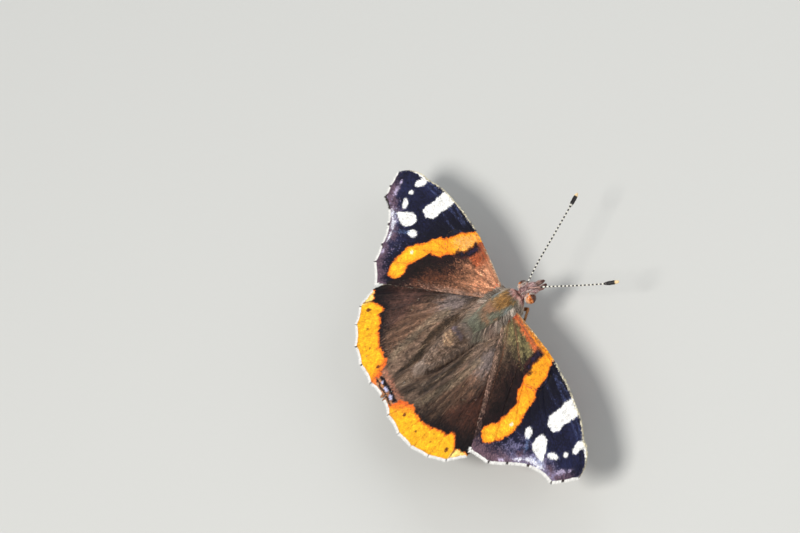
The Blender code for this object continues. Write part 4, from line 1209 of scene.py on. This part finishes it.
def shoulder_hair(count, lengths, widths, material, seed):
    """Silky hair from both flanks of the thorax, which lies out over the wing bases."""
    rng = np.random.default_rng(seed)
    back = rng.uniform(-0.7, 6.3, count)
    hand = rng.choice((-1.0, 1.0), count)
    angle = hand * rng.uniform(0.85, 1.35, count)
    fan = 0.25 + 0.13 * (back + 0.7) + 0.35 * (body_noise(back, 2.0 * hand, 0.5, seed + 1) - 0.5)
    fan = fan + rng.normal(0.0, 0.1, count)
    along = unit(np.stack([hand * np.cos(fan), np.sin(fan), np.full(count, -0.02)], 1))
    up = np.tile((0.0, 0.0, 1.0), (count, 1))
    length = rng.uniform(*lengths, count)
    lift = rng.uniform(0.04, 0.2, count)
    points, triangles = strand_meshes(body_place(back, angle), along, up, length,
                                      rng.uniform(*widths, count), lift, lift + 0.08,
                                      rng.normal(0.0, 0.08, count))
    locks = body_noise(back, 7.0 * angle, 0.22, seed + 2, 50.0)
    paint = Paint(THORAX_SIDE, back, rng.random(count))
    paint.lay(SHOULDER_BROWN, 0.6 * smooth(1.5, 3.5, back))
    paint.lay(THORAX_GREEN, 0.7 * smooth(3.5, 6.0, back))
    paint.lay(SHOULDER_PALE, 0.55 * smooth(3.2, 0.6, np.abs(back - 1.0)) * smooth(0.45, 0.75, locks))
    paint.lay(SHOULDER_DARK, 0.6 * smooth(0.45, 0.2, locks))
    tints = paint.rgb * (0.6 + 0.8 * locks)[:, None] * rng.uniform(0.88, 1.1, count)[:, None]
    add_tufts("shoulder_hair", spread_out(points, 1.0), triangles, tints, SHOULDER_SHADES,
              body_uv(back, angle), material)


def make_body():
    skin = tinted_material("body_skin", 0.12, 0.75, bump=0.04)
    hair = tinted_material("body_hair", 0.1, 0.5, spread=0.12, bump=0.01, sheen=0.2,
                           sheen_tint=(220, 214, 200))
    body_skin(skin)
    body_hair("thorax_hair", (-1.5, 6.6), 11500, (0.6, 1.05), (0.045, 0.08), (0.25, 0.48), 0.3, hair, 300)
    body_hair("thorax_long_hair", (1.2, 5.8), 2600, (1.0, 1.7), (0.04, 0.065), (0.12, 0.22), 0.5, hair, 310)
    body_hair("collar_hair", (-1.6, -0.7), 2600, (0.4, 0.7), (0.04, 0.065), (0.25, 0.55), 0.0, hair, 315,
              steps=2, forward=True)
    body_hair("flank_hair", (6.6, 14.8), 3600, (0.7, 1.2), (0.035, 0.055), (0.5, 0.95), 0.9, hair, 318,
              steps=2, flanks=(1.3, 2.5))
    body_hair("abdomen_hair", (6.7, 16.0), 12000, (0.4, 0.7), (0.04, 0.07), (0.14, 0.34), 0.15, hair, 320,
              steps=2)
    body_hair("tail_hair", (14.6, 16.25), 1300, (1.1, 2.1), (0.04, 0.065), (0.06, 0.16), 0.3, hair, 325,
              turns=(-1.7, 1.7))
    body_hair("head_hair", (-3.6, -1.5), 4600, (0.26, 0.5), (0.04, 0.07), (0.35, 0.7), 0.2, hair, 330,
              steps=2)
    body_hair("head_crest", (-3.3, -2.0), 1100, (0.24, 0.4), (0.04, 0.06), (1.4, 2.2), 0.0, hair, 335,
              forward=True, turns=(-0.95, 0.95))
    body_hair("face_hair", (-4.05, -3.1), 2000, (0.55, 0.95), (0.04, 0.065), (0.25, 0.6), 0.1, hair, 340,
              forward=True)
    shoulder_hair(4200, (1.0, 2.1), (0.045, 0.075), hair, 350)


# Long hair on the wings near the body.

HAIR_PALE = (176, 152, 128)
# Painted light and shade: the hair is lighter on the left wing than on the right.
FORE_HAIR = {"left": (132, 94, 74), "right": (76, 56, 44)}


def hindwing_hair(x, y, side, rng):
    """How likely hair is to grow at a place of the hindwing, and its colour."""
    free = smooth(0.6, 1.8, -depth_inside(x, y, HIND_BAND)) * smooth(15.0, 10.0, x)
    free = free * smooth(0.3, 0.8, y - 2.5) * smooth(20.6, 19.6, y)
    broad = streaks(x, y, HINDWING_FAN, 62, 0.5)
    paint = Paint(HIND_RUSSET[side], x, rng.random(len(x)))
    hindwing_inner(paint, x, y, side)
    paint.lay(HAIR_PALE, 0.6 * smooth(0.58, 0.82, broad) * smooth(10.5, 4.0, x))
    paint.lay(DARK_BROWN, 0.4 * smooth(0.35, 0.15, broad))
    return free, paint.rgb * silky(x, y, HINDWING_FAN, 61)[:, None]


def forewing_hair(x, y, side, rng):
    """The same for the forewing."""
    field = depth_inside(x, y, BROWN_FIELD)
    free = smooth(0.6, 1.8, field) * smooth(0.4, 2.4, y - 0.1 * x) * smooth(14.5, 8.5, x)
    # Painted light and shade: the hair's browns differ between the two wings as the light falls.
    paint = Paint(BROWN[side], x, rng.random(len(x)))
    paint.lay(FORE_HAIR[side], smooth(14.0, 6.0, x + 0.3 * y))
    ridge = smooth(1.3, 0.3, line_distance(x, y, FOREWING.rear)) * smooth(16.0, 9.0, x)
    paint.lay(REAR_PINK, 0.8 * ridge)
    paint.lay(HAIR_PALE, 0.5 * smooth(0.6, 0.8, streaks(x, y, FOREWING_FAN, 64, 0.4)) * smooth(10.0, 4.0, x))
    return free, paint.rgb * silky(x, y, FOREWING_FAN, 63)[:, None]


# Painted shade: darker towards the root.
WING_HAIR_SHADES = np.array([*np.repeat((0.85, 1.0, 1.08), 3), 1.12])


def wing_hair(wing, word, grow, row, column, lengths, material, seed):
    """Long hair that lies over a wing, where and in the colours that its grow function tells."""
    rng = np.random.default_rng(seed)
    places, heading = wing.places(row, column, rng, 0.15)
    free, rgb = grow(*places.T, word, rng)
    keep = rng.random(len(places)) < free
    places, heading, rgb = places[keep], heading[keep], rgb[keep]
    roots, along, across, up = wing_frame(wing, places, heading, 1.0)
    count = len(places)
    lean = 0.25 * (streaks(*places.T, wing.fan, seed + 1, 0.5) - 0.5) + rng.normal(0.0, 0.07, count)
    lift = rng.uniform(0.05, 0.11, count)
    length = rng.uniform(*lengths, count)
    points, triangles = strand_meshes(roots, leaned(along, across, lean), up, length,
                                      rng.uniform(0.04, 0.07, count), lift, 0.75 * lift,
                                      rng.normal(0.0, 0.04, count))
    tints = rgb * rng.uniform(0.88, 1.12, count)[:, None]
    add_tufts(f"{wing.kind}_{word}_hair", spread_out(points, SIDES[word]), triangles, tints,
              WING_HAIR_SHADES, plan_uv(*places.T), material)


# Round limbs: feelers, palps, tongue and legs.

def limb(path, radii, sides=12, tip=0.5):
    """A closed tube along a path, with rounded ends. Returns its places, its triangles and, for each
    place, the distance along the path."""
    path = np.asarray(path, float)
    run = unit(np.gradient(path, axis=0))
    across = np.cross(run[0], (0.0, 0.0, 1.0))
    turn = 2.0 * math.pi * np.arange(sides) / sides
    rings = []
    for centre, direction, radius in zip(path, run, radii):
        across = across - direction * (across @ direction)
        across /= np.linalg.norm(across)
        ring = np.outer(np.cos(turn), across) + np.outer(np.sin(turn), np.cross(direction, across))
        rings.append(centre + ring * radius)
    ends = (path[0] - run[0] * radii[0] * tip, path[-1] + run[-1] * radii[-1] * tip)
    travelled = distances(path)
    along = np.concatenate([np.repeat(travelled, sides), (0.0, travelled[-1])])
    return np.vstack([*rings, ends]), loft_faces(len(path), sides), along


def limb_coat(path, radii, count, lengths, widths, lifts, rng):
    """Short scales or hairs over a limb, which lie towards its end. Also returns each root's distance
    along the limb and its turn round it."""
    path = np.asarray(path, float)
    travelled = distances(path)
    at = rng.uniform(0.0, travelled[-1], count)
    centre, ahead, behind = (np.stack([np.interp(at + step, travelled, column) for column in path.T], 1)
                             for step in (0.0, 0.05, -0.05))
    run = unit(ahead - behind)
    across = unit(np.cross(run, rng.normal(0.0, 1.0, (count, 3))))
    radius = np.interp(at, travelled, radii)
    lift = rng.uniform(*lifts, count)
    length = rng.uniform(*lengths, count)
    points, triangles = strand_meshes(centre + across * (0.96 * radius)[:, None], run, across, length,
                                      rng.uniform(*widths, count), lift, 0.5 * lift,
                                      rng.normal(0.0, 0.1, count), steps=2)
    return points, triangles, at, np.arctan2(across[:, 2], across[:, 0])


def limb_uv(at, turn, whole):
    """A place on the unwrap of a limb, from how far along and round it is."""
    return np.stack([0.5 + turn / (2.0 * math.pi), 0.02 + 0.96 * at / whole], -1)


# The root is on the straight head. The rest of the way is where the feeler is held.
ANTENNA_ROOT = ((0.38, -3.35, -0.3), (0.38, -3.65, 0.15))
ANTENNA_ROUTES = {
    "left": ((0.5, -4.35, 0.42), (2.15, -6.7, 0.35), (4.42, -10.3, 0.15), (6.98, -14.25, -0.1),
             (8.63, -16.63, -0.3)),
    "right": ((-1.0, -4.0, 0.15), (-2.48, -5.91, 0.1), (-5.1, -9.17, -0.15), (-7.76, -12.67, -0.4),
              (-9.16, -14.83, -0.5)),
}
ANTENNA_RADIUS = 0.105
ANTENNA_SIDES = 14
CLUB_RADIUS = 0.3
CLUB_LENGTH = 2.1
CLUB_TIP = 0.55
RING_PITCH = 0.62
ANTENNA_BLACK = (30, 26, 27)
ANTENNA_WHITE = (236, 234, 222)
ANTENNA_TIP = (250, 218, 166)
# The first joints are coloured like the face's scales and hair, to this far from the root.
ANTENNA_BASE = {"left": 0.8, "right": 2.4}


def make_antennae():
    """Feelers with narrow white rings, a club and a pale tip."""
    material = tinted_material("feeler", 0.08, 0.5, spread=0.12, bump=0.01, shine=0.4)
    for word, side in SIDES.items():
        rng = np.random.default_rng(400 + side)
        base = ANTENNA_BASE[word]
        path = curve(np.vstack([on_side(ANTENNA_ROOT, side), ANTENNA_ROUTES[word]]), 0.07)
        travelled = distances(path)
        left = travelled[-1] - travelled
        phase = travelled / RING_PITCH
        share = phase - np.floor(phase)
        white = smooth(0.42, 0.5, share) * smooth(1.0, 0.94, share) * smooth(base, base + 0.1, travelled)
        white = white * smooth(CLUB_LENGTH - 0.3, CLUB_LENGTH, left)
        club = smooth(CLUB_LENGTH + 0.5, CLUB_LENGTH - 0.6, left) * np.sqrt(np.clip(left / 0.7, 0.05, 1.0))
        radii = ANTENNA_RADIUS + (CLUB_RADIUS - ANTENNA_RADIUS) * club
        radii = radii + 0.018 * white + 0.012 * np.sin(2.0 * math.pi * (phase - 0.1))
        points, faces, along = limb(path, radii, ANTENNA_SIDES)
        paint = Paint(ANTENNA_BLACK, along)
        paint.lay(ANTENNA_WHITE, np.concatenate([np.repeat(white, ANTENNA_SIDES), (0.0, 0.0)]))
        paint.lay(ANTENNA_TIP, smooth(CLUB_TIP + 0.1, CLUB_TIP - 0.1, travelled[-1] - along))
        paint.lay(PALP_PINK, smooth(base + 0.1, base - 0.2, along))
        tints = paint.rgb * rng.uniform(0.9, 1.06, (len(points), 1))
        add_mesh(f"antenna_{word}_fine", spread_out(points, 1.0), faces, tints, material,
                 replaces=[f"antenna_{word}"])


PALP_ROUTE = ((0.42, -3.9, -1.3, 0.26), (0.43, -4.35, -1.44, 0.28), (0.45, -4.75, -1.58, 0.28),
              (0.42, -5.1, -1.68, 0.19), (0.38, -5.45, -1.74, 0.05))
PALP_PINK = (174, 136, 126)
PALP_PALE = (206, 182, 172)
PALP_DARK = (84, 54, 50)


def make_palps():
    material = tinted_material("palp_scales", 0.06, 0.6, spread=0.15, bump=0.015, sheen=0.1)
    route = curve(PALP_ROUTE, 0.1)
    path, radii = route[:, :3], route[:, 3]
    for word, side in SIDES.items():
        rng = np.random.default_rng(420 + side)
        points, faces, along = limb(path, radii, 16)
        whole = along.max()
        coat, coat_faces, at, turn = limb_coat(path, radii, 1500, (0.22, 0.42), (0.04, 0.065), (0.25, 0.55),
                                               rng)
        skin_paint = Paint(PALP_PINK, along)
        skin_paint.lay(PALP_DARK, 0.7 * smooth(0.62, 0.95, along / whole))
        share = at / whole
        paint = Paint(PALP_PINK, share, rng.random(len(share)))
        paint.lay(PALP_PALE, smooth(0.5, 0.9, np.sin(turn) + rng.normal(0.0, 0.4, len(share))) * 0.8)
        paint.lay(PALP_DARK, 0.65 * smooth(0.5, 0.95, share) + 0.3)
        tints = paint.rgb * rng.uniform(0.85, 1.15, (len(share), 1))
        add_mesh(f"palp_{word}_skin", spread_out(on_side(points, side), 1.0), faces, skin_paint.rgb,
                 material, replaces=[f"palp_{word}"])
        add_tufts(f"palp_{word}_scales", spread_out(on_side(coat, side), 1.0), coat_faces, tints,
                  PLAIN_STRAND, limb_uv(at, turn, whole), material)


TONGUE_CENTRE = (0.0, -2.6, -3.05)
TONGUE_COIL = 0.5
TONGUE_TURNS = 3.0
TONGUE_RADIUS = 0.09
TONGUE_ROOT = ((0.0, -3.6, -1.8), (0.0, -3.55, -2.3), (0.0, -3.2, -2.75))
TONGUE_AMBER = (120, 72, 38)


def make_tongue():
    """The tongue rolled up like a watch spring, with its root under the face."""
    material = tinted_material("tongue", 0.2, 0.35, spread=0.15, bump=0.02, shine=0.5)
    out, back, level = TONGUE_CENTRE
    turn = np.linspace(0.0, 2.0 * math.pi * TONGUE_TURNS, 150)
    reach = TONGUE_COIL * (1.0 - 0.24 * turn / (2.0 * math.pi))
    spiral = np.column_stack([np.full_like(turn, out), back - reach * np.cos(turn),
                              level + reach * np.sin(turn)])
    path = np.vstack([curve(TONGUE_ROOT, 0.08)[:-1], spiral])
    radii = TONGUE_RADIUS * np.linspace(1.0, 0.45, len(path))
    points, faces, along = limb(path, radii, 12)
    tints = np.array(TONGUE_AMBER) * (0.8 + 0.4 * noise(along, along * 0.0, 0.12, 71))[:, None]
    add_mesh("tongue_coil", spread_out(turned(points), 1.0), faces, tints, material,
             replaces=["tongue"])


# Legs as (out, back, height over the floor, radius), from inside the thorax to the toe.
LEG_ROUTES = {
    "leg_fore": ((0.8, -0.6, 5.6, 0.26), (1.0, -0.95, 5.45, 0.26), (1.35, -1.35, 5.55, 0.2),
                 (1.6, -1.5, 5.75, 0.17), (2.1, -0.9, 5.7, 0.17), (2.6, -0.35, 5.6, 0.16),
                 (2.9, 0.6, 5.0, 0.09)),
    "leg_mid": ((0.7, 1.3, 5.0, 0.4), (1.45, 1.3, 4.1, 0.42), (2.0, 1.6, 3.0, 0.34), (4.0, 1.85, 3.95, 0.27),
                (6.0, 2.1, 4.9, 0.2), (7.2, 2.15, 2.9, 0.17), (8.5, 2.2, 0.8, 0.17), (9.1, 2.15, 0.16, 0.14),
                (11.6, 1.9, 0.14, 0.11)),
    "leg_hind": ((0.7, 4.1, 5.3, 0.4), (1.4, 4.2, 4.5, 0.42), (1.9, 4.6, 3.5, 0.34), (3.2, 6.7, 4.05, 0.27),
                 (4.6, 8.9, 4.6, 0.2), (5.1, 11.0, 2.7, 0.17), (5.6, 13.0, 0.8, 0.17),
                 (5.9, 14.0, 0.16, 0.14), (7.0, 17.2, 0.14, 0.11)),
}
LEG_BROWN = (134, 92, 58)
FORE_LEG = (188, 112, 56)
LEG_TAN = (196, 148, 98)
LEG_DARK = (70, 48, 36)
TARSUS_PARTS = 5
CLAW_LENGTH = 0.32
CLAW_TINT = (40, 26, 20)


def straight(points, step):
    """Points about a step apart along straight runs between the given ones."""
    points = np.array(points, float)
    found = [points[:1]]
    for start, end in zip(points, points[1:]):
        count = max(1, round(float(np.linalg.norm(end[:3] - start[:3])) / step))
        found.append(start + (end - start) * (np.arange(count) + 1.0)[:, None] / count)
    return np.vstack(found)


def eased(path):
    """The same points with their corners rounded off."""
    for _ in range(3):
        path[1:-1] = 0.25 * path[:-2] + 0.5 * path[1:-1] + 0.25 * path[2:]
    return path


def leg_paint(share, base, chance=None):
    """Paint that turns from the base colour to tan towards the foot."""
    paint = Paint(base, share, chance)
    paint.lay(LEG_TAN, 0.3 + 0.5 * smooth(0.3, 0.5, share))
    return paint


def leg_route(kind):
    """The leg's own route, with its corners rounded and a walking foot pinched between its joints."""
    route = eased(straight(LEG_ROUTES[kind], 0.1))
    if kind != "leg_fore":
        travelled = distances(route[:, :3])
        ankle, toe = (np.array(place[:3]) for place in LEG_ROUTES[kind][-2:])
        start = travelled[-1] - float(np.linalg.norm(toe - ankle))
        part = (travelled - start) / (travelled[-1] - start) * TARSUS_PARTS
        pinch = np.exp(-((part - np.round(part)) * 0.6 / 0.1) ** 2)
        route[:, 3] *= 1.0 - 0.3 * smooth(start - 0.1, start + 0.1, travelled) * pinch
    return route[:, :3] - (0.0, 0.0, WING_LEVEL), route[:, 3]


def add_claws(name, path, side, skin):
    """Two small claws that curve forward and down from the end of a foot."""
    run = path[-1] - path[-4]
    run /= np.linalg.norm(run)
    across = np.cross(run, (0.0, 0.0, 1.0))
    for number, hand in enumerate((-1.0, 1.0)):
        root = path[-1] + across * 0.04 * hand
        claw = curve((root, root + run * 0.14 + across * 0.07 * hand + (0.0, 0.0, 0.03),
                      root + run * CLAW_LENGTH + across * 0.1 * hand - (0.0, 0.0, 0.1)), 0.03)
        claw[:, 2] = np.maximum(claw[:, 2], 0.03 - WING_LEVEL)
        points, faces, _ = limb(claw, np.linspace(0.05, 0.012, len(claw)), 8)
        add_mesh(f"{name}_claw_{number + 1}", spread_out(points, side), faces,
                 np.tile(CLAW_TINT, (len(points), 1)), skin)


def make_leg(kind, word, side, skin, coat_material, seed):
    """One leg with its skin, scales and spines, and claws if it walks."""
    rng = np.random.default_rng(seed)
    name = f"{kind}_{word}"
    path, radii = leg_route(kind)
    points, faces, along = limb(path, radii, 12, 0.8)
    whole = along.max()
    base = FORE_LEG if kind == "leg_fore" else LEG_BROWN
    paint = leg_paint(along / whole, base)
    paint.lay(LEG_DARK, 0.4 * noise(along, np.arange(len(along)) % 12 * 0.3, 0.3, seed))
    add_mesh(f"{name}_skin", spread_out(points, side), faces, paint.rgb, skin, replaces=[name])
    number = round(150 * whole)
    coat, coat_faces, at, turn = limb_coat(path, radii, number, (0.16, 0.32), (0.035, 0.06), (0.1, 0.35),
                                           rng)
    paint = leg_paint(at / whole, base, rng.random(number))
    paint.lay(LEG_DARK, 0.18 + 0.3 * smooth(0.95, 1.0, at / whole))
    tints = paint.rgb * rng.uniform(0.85, 1.15, (number, 1))
    spines, spine_faces, at_spine, spine_turn = limb_coat(path, radii, 34, (0.3, 0.42), (0.05, 0.07),
                                                          (0.6, 0.9), rng)
    keep = np.flatnonzero((at_spine > 0.4 * whole) & (at_spine < 0.97 * whole))
    spines = spines.reshape(-1, 7, 3)[keep].reshape(-1, 3)
    spine_faces = spine_faces.reshape(-1, 10, 3)[:len(keep)].reshape(-1, 3)
    places = np.vstack([coat, spines])
    places[:, 2] = np.maximum(places[:, 2], 0.012 - WING_LEVEL)
    roots_uv = limb_uv(np.concatenate([at, at_spine[keep]]), np.concatenate([turn, spine_turn[keep]]), whole)
    tints = np.vstack([tints, np.tile(LEG_DARK, (len(keep), 1))])
    add_tufts(f"{name}_scales", spread_out(places, side), np.vstack([coat_faces, spine_faces + len(coat)]),
              tints, PLAIN_STRAND, roots_uv, coat_material)
    if kind != "leg_fore":
        add_claws(name, path, side, skin)


def make_legs():
    skin = tinted_material("leg_skin", 0.1, 0.45, spread=0.2, bump=0.02, shine=0.45)
    coat = tinted_material("leg_scales", 0.06, 0.5, spread=0.15, bump=0.008)
    seed = 500
    for word, side in SIDES.items():
        for kind in LEG_ROUTES:
            seed += 10
            make_leg(kind, word, side, skin, coat, seed)


EYE_CENTRE = (1.17, -2.8, -1.1)
EYE_SIZE = (0.86, 0.85, 0.87)
EYE_RINGS, EYE_SIDES = 40, 56
FACET_SIZE = 0.04
RIM_HAIRS = 420
RIM_TINT = (226, 212, 202)
EYE_ORANGE = (222, 122, 50)
EYE_DARK = (62, 28, 14)
# Painted shade: the front and lower part of the eye darken over this share of its depth, more of the left
# eye.
EYE_SHADE_FROM = {"left": (-0.5, -0.05), "right": (-0.05, 0.4)}
EYE_PALE = (236, 182, 146)


def eye_material():
    """Many tiny facets under a clear gloss."""
    material = tinted_material("eye", 0.2, 0.25, spread=0.12, bump=0.01, shine=0.35)
    tree = material.node_tree
    body = tree.nodes["Principled BSDF"]
    place = add_node(tree, "ShaderNodeTexCoord").outputs["Object"]
    cells = add_node(tree, "ShaderNodeTexVoronoi", {"Vector": place, "Scale": 1.0 / (FACET_SIZE * MM)})
    tree.links.new(bump_node(tree, cells.outputs["Distance"], 0.35, 0.012), body.inputs["Normal"])
    body.inputs["Coat Weight"].default_value = 0.25
    body.inputs["Coat Roughness"].default_value = 0.12
    return material


def eye_globe(word, side, material):
    """A globe with its poles to the sides, darker in front and below as painted shade, and pale behind."""
    rise = np.linspace(-0.5 * math.pi, 0.5 * math.pi, EYE_RINGS + 1)[1:-1]
    turn = 2.0 * math.pi * np.arange(EYE_SIDES) / EYE_SIDES
    a, b = (grid.ravel() for grid in np.meshgrid(rise, turn, indexing="ij"))
    shell = np.stack([np.sin(a), np.cos(a) * np.cos(b), np.cos(a) * np.sin(b)], 1)
    shell = np.vstack([shell, (-1.0, 0.0, 0.0), (1.0, 0.0, 0.0)])
    points = on_side(np.array(EYE_CENTRE) + shell * EYE_SIZE, side)
    _, rear, up = shell.T
    paint = Paint(EYE_ORANGE, rear)
    blot = noise(3.0 * rear + 9.0, 3.0 * up + 9.0, 0.6, 81)
    paint.lay(EYE_DARK, smooth(0.5, 0.85, blot) * 0.5)
    paint.lay(EYE_PALE, smooth(0.6, 0.25, blot) * 0.35)
    # Painted shade over the front and lower part of the eye.
    paint.lay(EYE_DARK, smooth(*EYE_SHADE_FROM[word], -rear - 0.25 * up) * 0.9)
    paint.lay(EYE_PALE, smooth(0.2, 0.55, rear) * 0.85)
    add_mesh(f"eye_{word}_globe", spread_out(points, 1.0), loft_faces(EYE_RINGS - 1, EYE_SIDES), paint.rgb,
             material, replaces=[f"eye_{word}"])


def eye_rim(word, side, material):
    """Short pale hairs round the inner edge of the eye."""
    rng = np.random.default_rng(450 + side)
    number = RIM_HAIRS
    turn = rng.uniform(0.0, 2.0 * math.pi, number)
    ring = np.stack([np.zeros(number), np.cos(turn), np.sin(turn)], 1)
    out = rng.uniform(-0.4, -0.1, number) + 0.45 * np.maximum(np.cos(turn), 0.0) * rng.random(number)
    lie = np.sqrt(1.0 - out * out)
    centre = np.outer(out, (1.0, 0.0, 0.0))
    roots = np.array(EYE_CENTRE) + (ring * lie[:, None] + centre) * EYE_SIZE
    aside = np.cross(ring, (1.0, 0.0, 0.0)) * rng.normal(0.0, 0.25, (number, 1))
    outward = unit(np.array((0.75, 0.0, 0.0)) + aside)
    points, triangles = strand_meshes(roots, outward, ring, rng.uniform(0.16, 0.3, number),
                                      rng.uniform(0.05, 0.08, number), rng.uniform(0.1, 0.4, number),
                                      rng.uniform(0.2, 0.5, number), rng.normal(0.0, 0.1, number), steps=2)
    tints = np.array(RIM_TINT) * rng.uniform(0.72, 1.04, (number, 1))
    add_tufts(f"eye_{word}_rim", spread_out(on_side(points, side), 1.0), triangles, tints, PLAIN_STRAND,
              limb_uv(0.5 + out, turn - math.pi, 1.0), material)


def make_eyes():
    material = eye_material()
    rim_material = tinted_material("eye_rim", 0.06, 0.55, spread=0.1, bump=0.01)
    for word, side in SIDES.items():
        eye_globe(word, side, material)
        eye_rim(word, side, rim_material)


# Camera, light and floor.

CAMERA_AZIMUTH = -77.97
CAMERA_ELEVATION = 46.92
CAMERA_ROLL = -46.06
CAMERA_DISTANCE = 500.0
CAMERA_LENS = 157.36
# A point that the middle of the picture looks at, in the frame.
CAMERA_AIM = (8.55, 5.512, 18.26)


def make_camera():
    azimuth, elevation = math.radians(CAMERA_AZIMUTH), math.radians(CAMERA_ELEVATION)
    back = Vector((math.sin(azimuth) * math.cos(elevation), -math.cos(azimuth) * math.cos(elevation),
                   math.sin(elevation)))
    right = Vector((0.0, 0.0, 1.0)).cross(back).normalized()
    up = back.cross(right)
    pose = Matrix((right, up, back)).transposed().to_4x4()
    data = bpy.data.cameras.new("camera")
    data.lens = CAMERA_LENS
    data.sensor_width = 36.0
    data.clip_start = 0.01
    camera = bpy.data.objects.new("camera", data)
    bpy.context.scene.collection.objects.link(camera)
    place = Matrix.Translation((Vector(CAMERA_AIM) + back * CAMERA_DISTANCE) * MM)
    camera.matrix_world = place @ pose @ Matrix.Rotation(math.radians(CAMERA_ROLL), 4, "Z")
    bpy.context.scene.camera = camera


# Soft lamps as (name, place, size, power, colour), placed in metres round the insect.
LAMPS = (
    ("key", (-0.25, 0.35, 0.75), 0.35, 6.0, (1.0, 0.97, 0.92)),
    ("fill", (0.6, -0.5, 0.45), 0.6, 2.0, (0.94, 0.97, 1.0)),
    ("front", (-0.45, -0.5, 0.35), 0.5, 1.6, (1.0, 1.0, 1.0)),
)
WORLD_COLOUR = (0.82, 0.84, 0.86)
WORLD_STRENGTH = 0.36
FLOOR_SIZE = 3.0
FLOOR_COLOUR = (205, 206, 204)
FLOOR_GRAIN = 10.0 / 9.0


def make_lamps():
    for name, place, size, power, colour in LAMPS:
        data = bpy.data.lights.new(name, "AREA")
        data.shape = "DISK"
        data.size = size
        data.energy = power
        data.color = colour
        lamp = bpy.data.objects.new(name, data)
        bpy.context.scene.collection.objects.link(lamp)
        lamp.location = place
        lamp.rotation_euler = Vector(place).to_track_quat("Z", "Y").to_euler()
    world = bpy.data.worlds.new("studio")
    world.use_nodes = True
    world.node_tree.nodes["Background"].inputs["Color"].default_value = (*WORLD_COLOUR, 1.0)
    world.node_tree.nodes["Background"].inputs["Strength"].default_value = WORLD_STRENGTH
    bpy.context.scene.world = world
    bpy.context.scene.view_settings.view_transform = "Standard"


def make_floor():
    mesh = bpy.data.meshes.new("floor")
    half = 0.5 * FLOOR_SIZE
    corners = [(-half, -half, 0.0), (half, -half, 0.0), (half, half, 0.0), (-half, half, 0.0)]
    mesh.from_pydata(corners, [], [(0, 1, 2, 3)])
    material, tree, body, place = new_material("floor")
    grain = noise_node(tree, place, FLOOR_GRAIN, 4.0)
    body.inputs["Base Color"].default_value = (*linear(FLOOR_COLOUR), 1.0)
    body.inputs["Roughness"].default_value = 0.85
    tree.links.new(bump_node(tree, grain, 0.15, 0.1), body.inputs["Normal"])
    mesh.materials.append(material)
    floor = bpy.data.objects.new("floor", mesh)
    bpy.context.scene.collection.objects.link(floor)


TOP_ROW, TOP_COLUMN = 0.19, 0.155
UNDER_ROW, UNDER_COLUMN = 0.27, 0.22
WING_KINDS = ((FOREWING, forewing_top, forewing_under), (HINDWING, hindwing_top, hindwing_under))


def make_wings():
    membrane = tinted_material("wing_membrane", 0.12, 0.7, bump=0.015)
    top = tinted_material("wing_scales_top", 0.06, 0.62, spread=0.12, bump=0.008, sheen=0.05,
                          sheen_tint=(170, 180, 255), shine=0.2)
    under = tinted_material("wing_scales_under", 0.08, 0.7, spread=0.2, bump=0.008, shine=0.3)
    fringe = tinted_material("wing_fringe", 0.08, 0.6, spread=0.06, bump=0.006, shine=0.3)
    seed = 100
    for word in SIDES:
        for wing, paint_top, paint_under in WING_KINDS:
            seed += 10
            wing_skin(wing, word, paint_top, paint_under, membrane, f"{wing.kind}_{word}")
            wing_scales(wing, word, "top", paint_top, TOP_ROW, TOP_COLUMN, top, seed)
            wing_scales(wing, word, "under", paint_under, UNDER_ROW, UNDER_COLUMN, under, seed + 1)
            wing_fringe(wing, word, fringe, seed + 2)
    hair = tinted_material("wing_hair", 0.12, 0.5, spread=0.15, bump=0.008, sheen=0.2,
                           sheen_tint=(220, 205, 185))
    for word in SIDES:
        seed += 10
        wing_hair(HINDWING, word, hindwing_hair, 0.23, 0.14, (0.9, 1.7), hair, seed)
        wing_hair(FOREWING, word, forewing_hair, 0.22, 0.13, (0.6, 1.2), hair, seed + 5)


make_camera()
make_lamps()
make_floor()
make_body()
make_eyes()
make_antennae()
make_palps()
make_tongue()
make_legs()
make_wings()
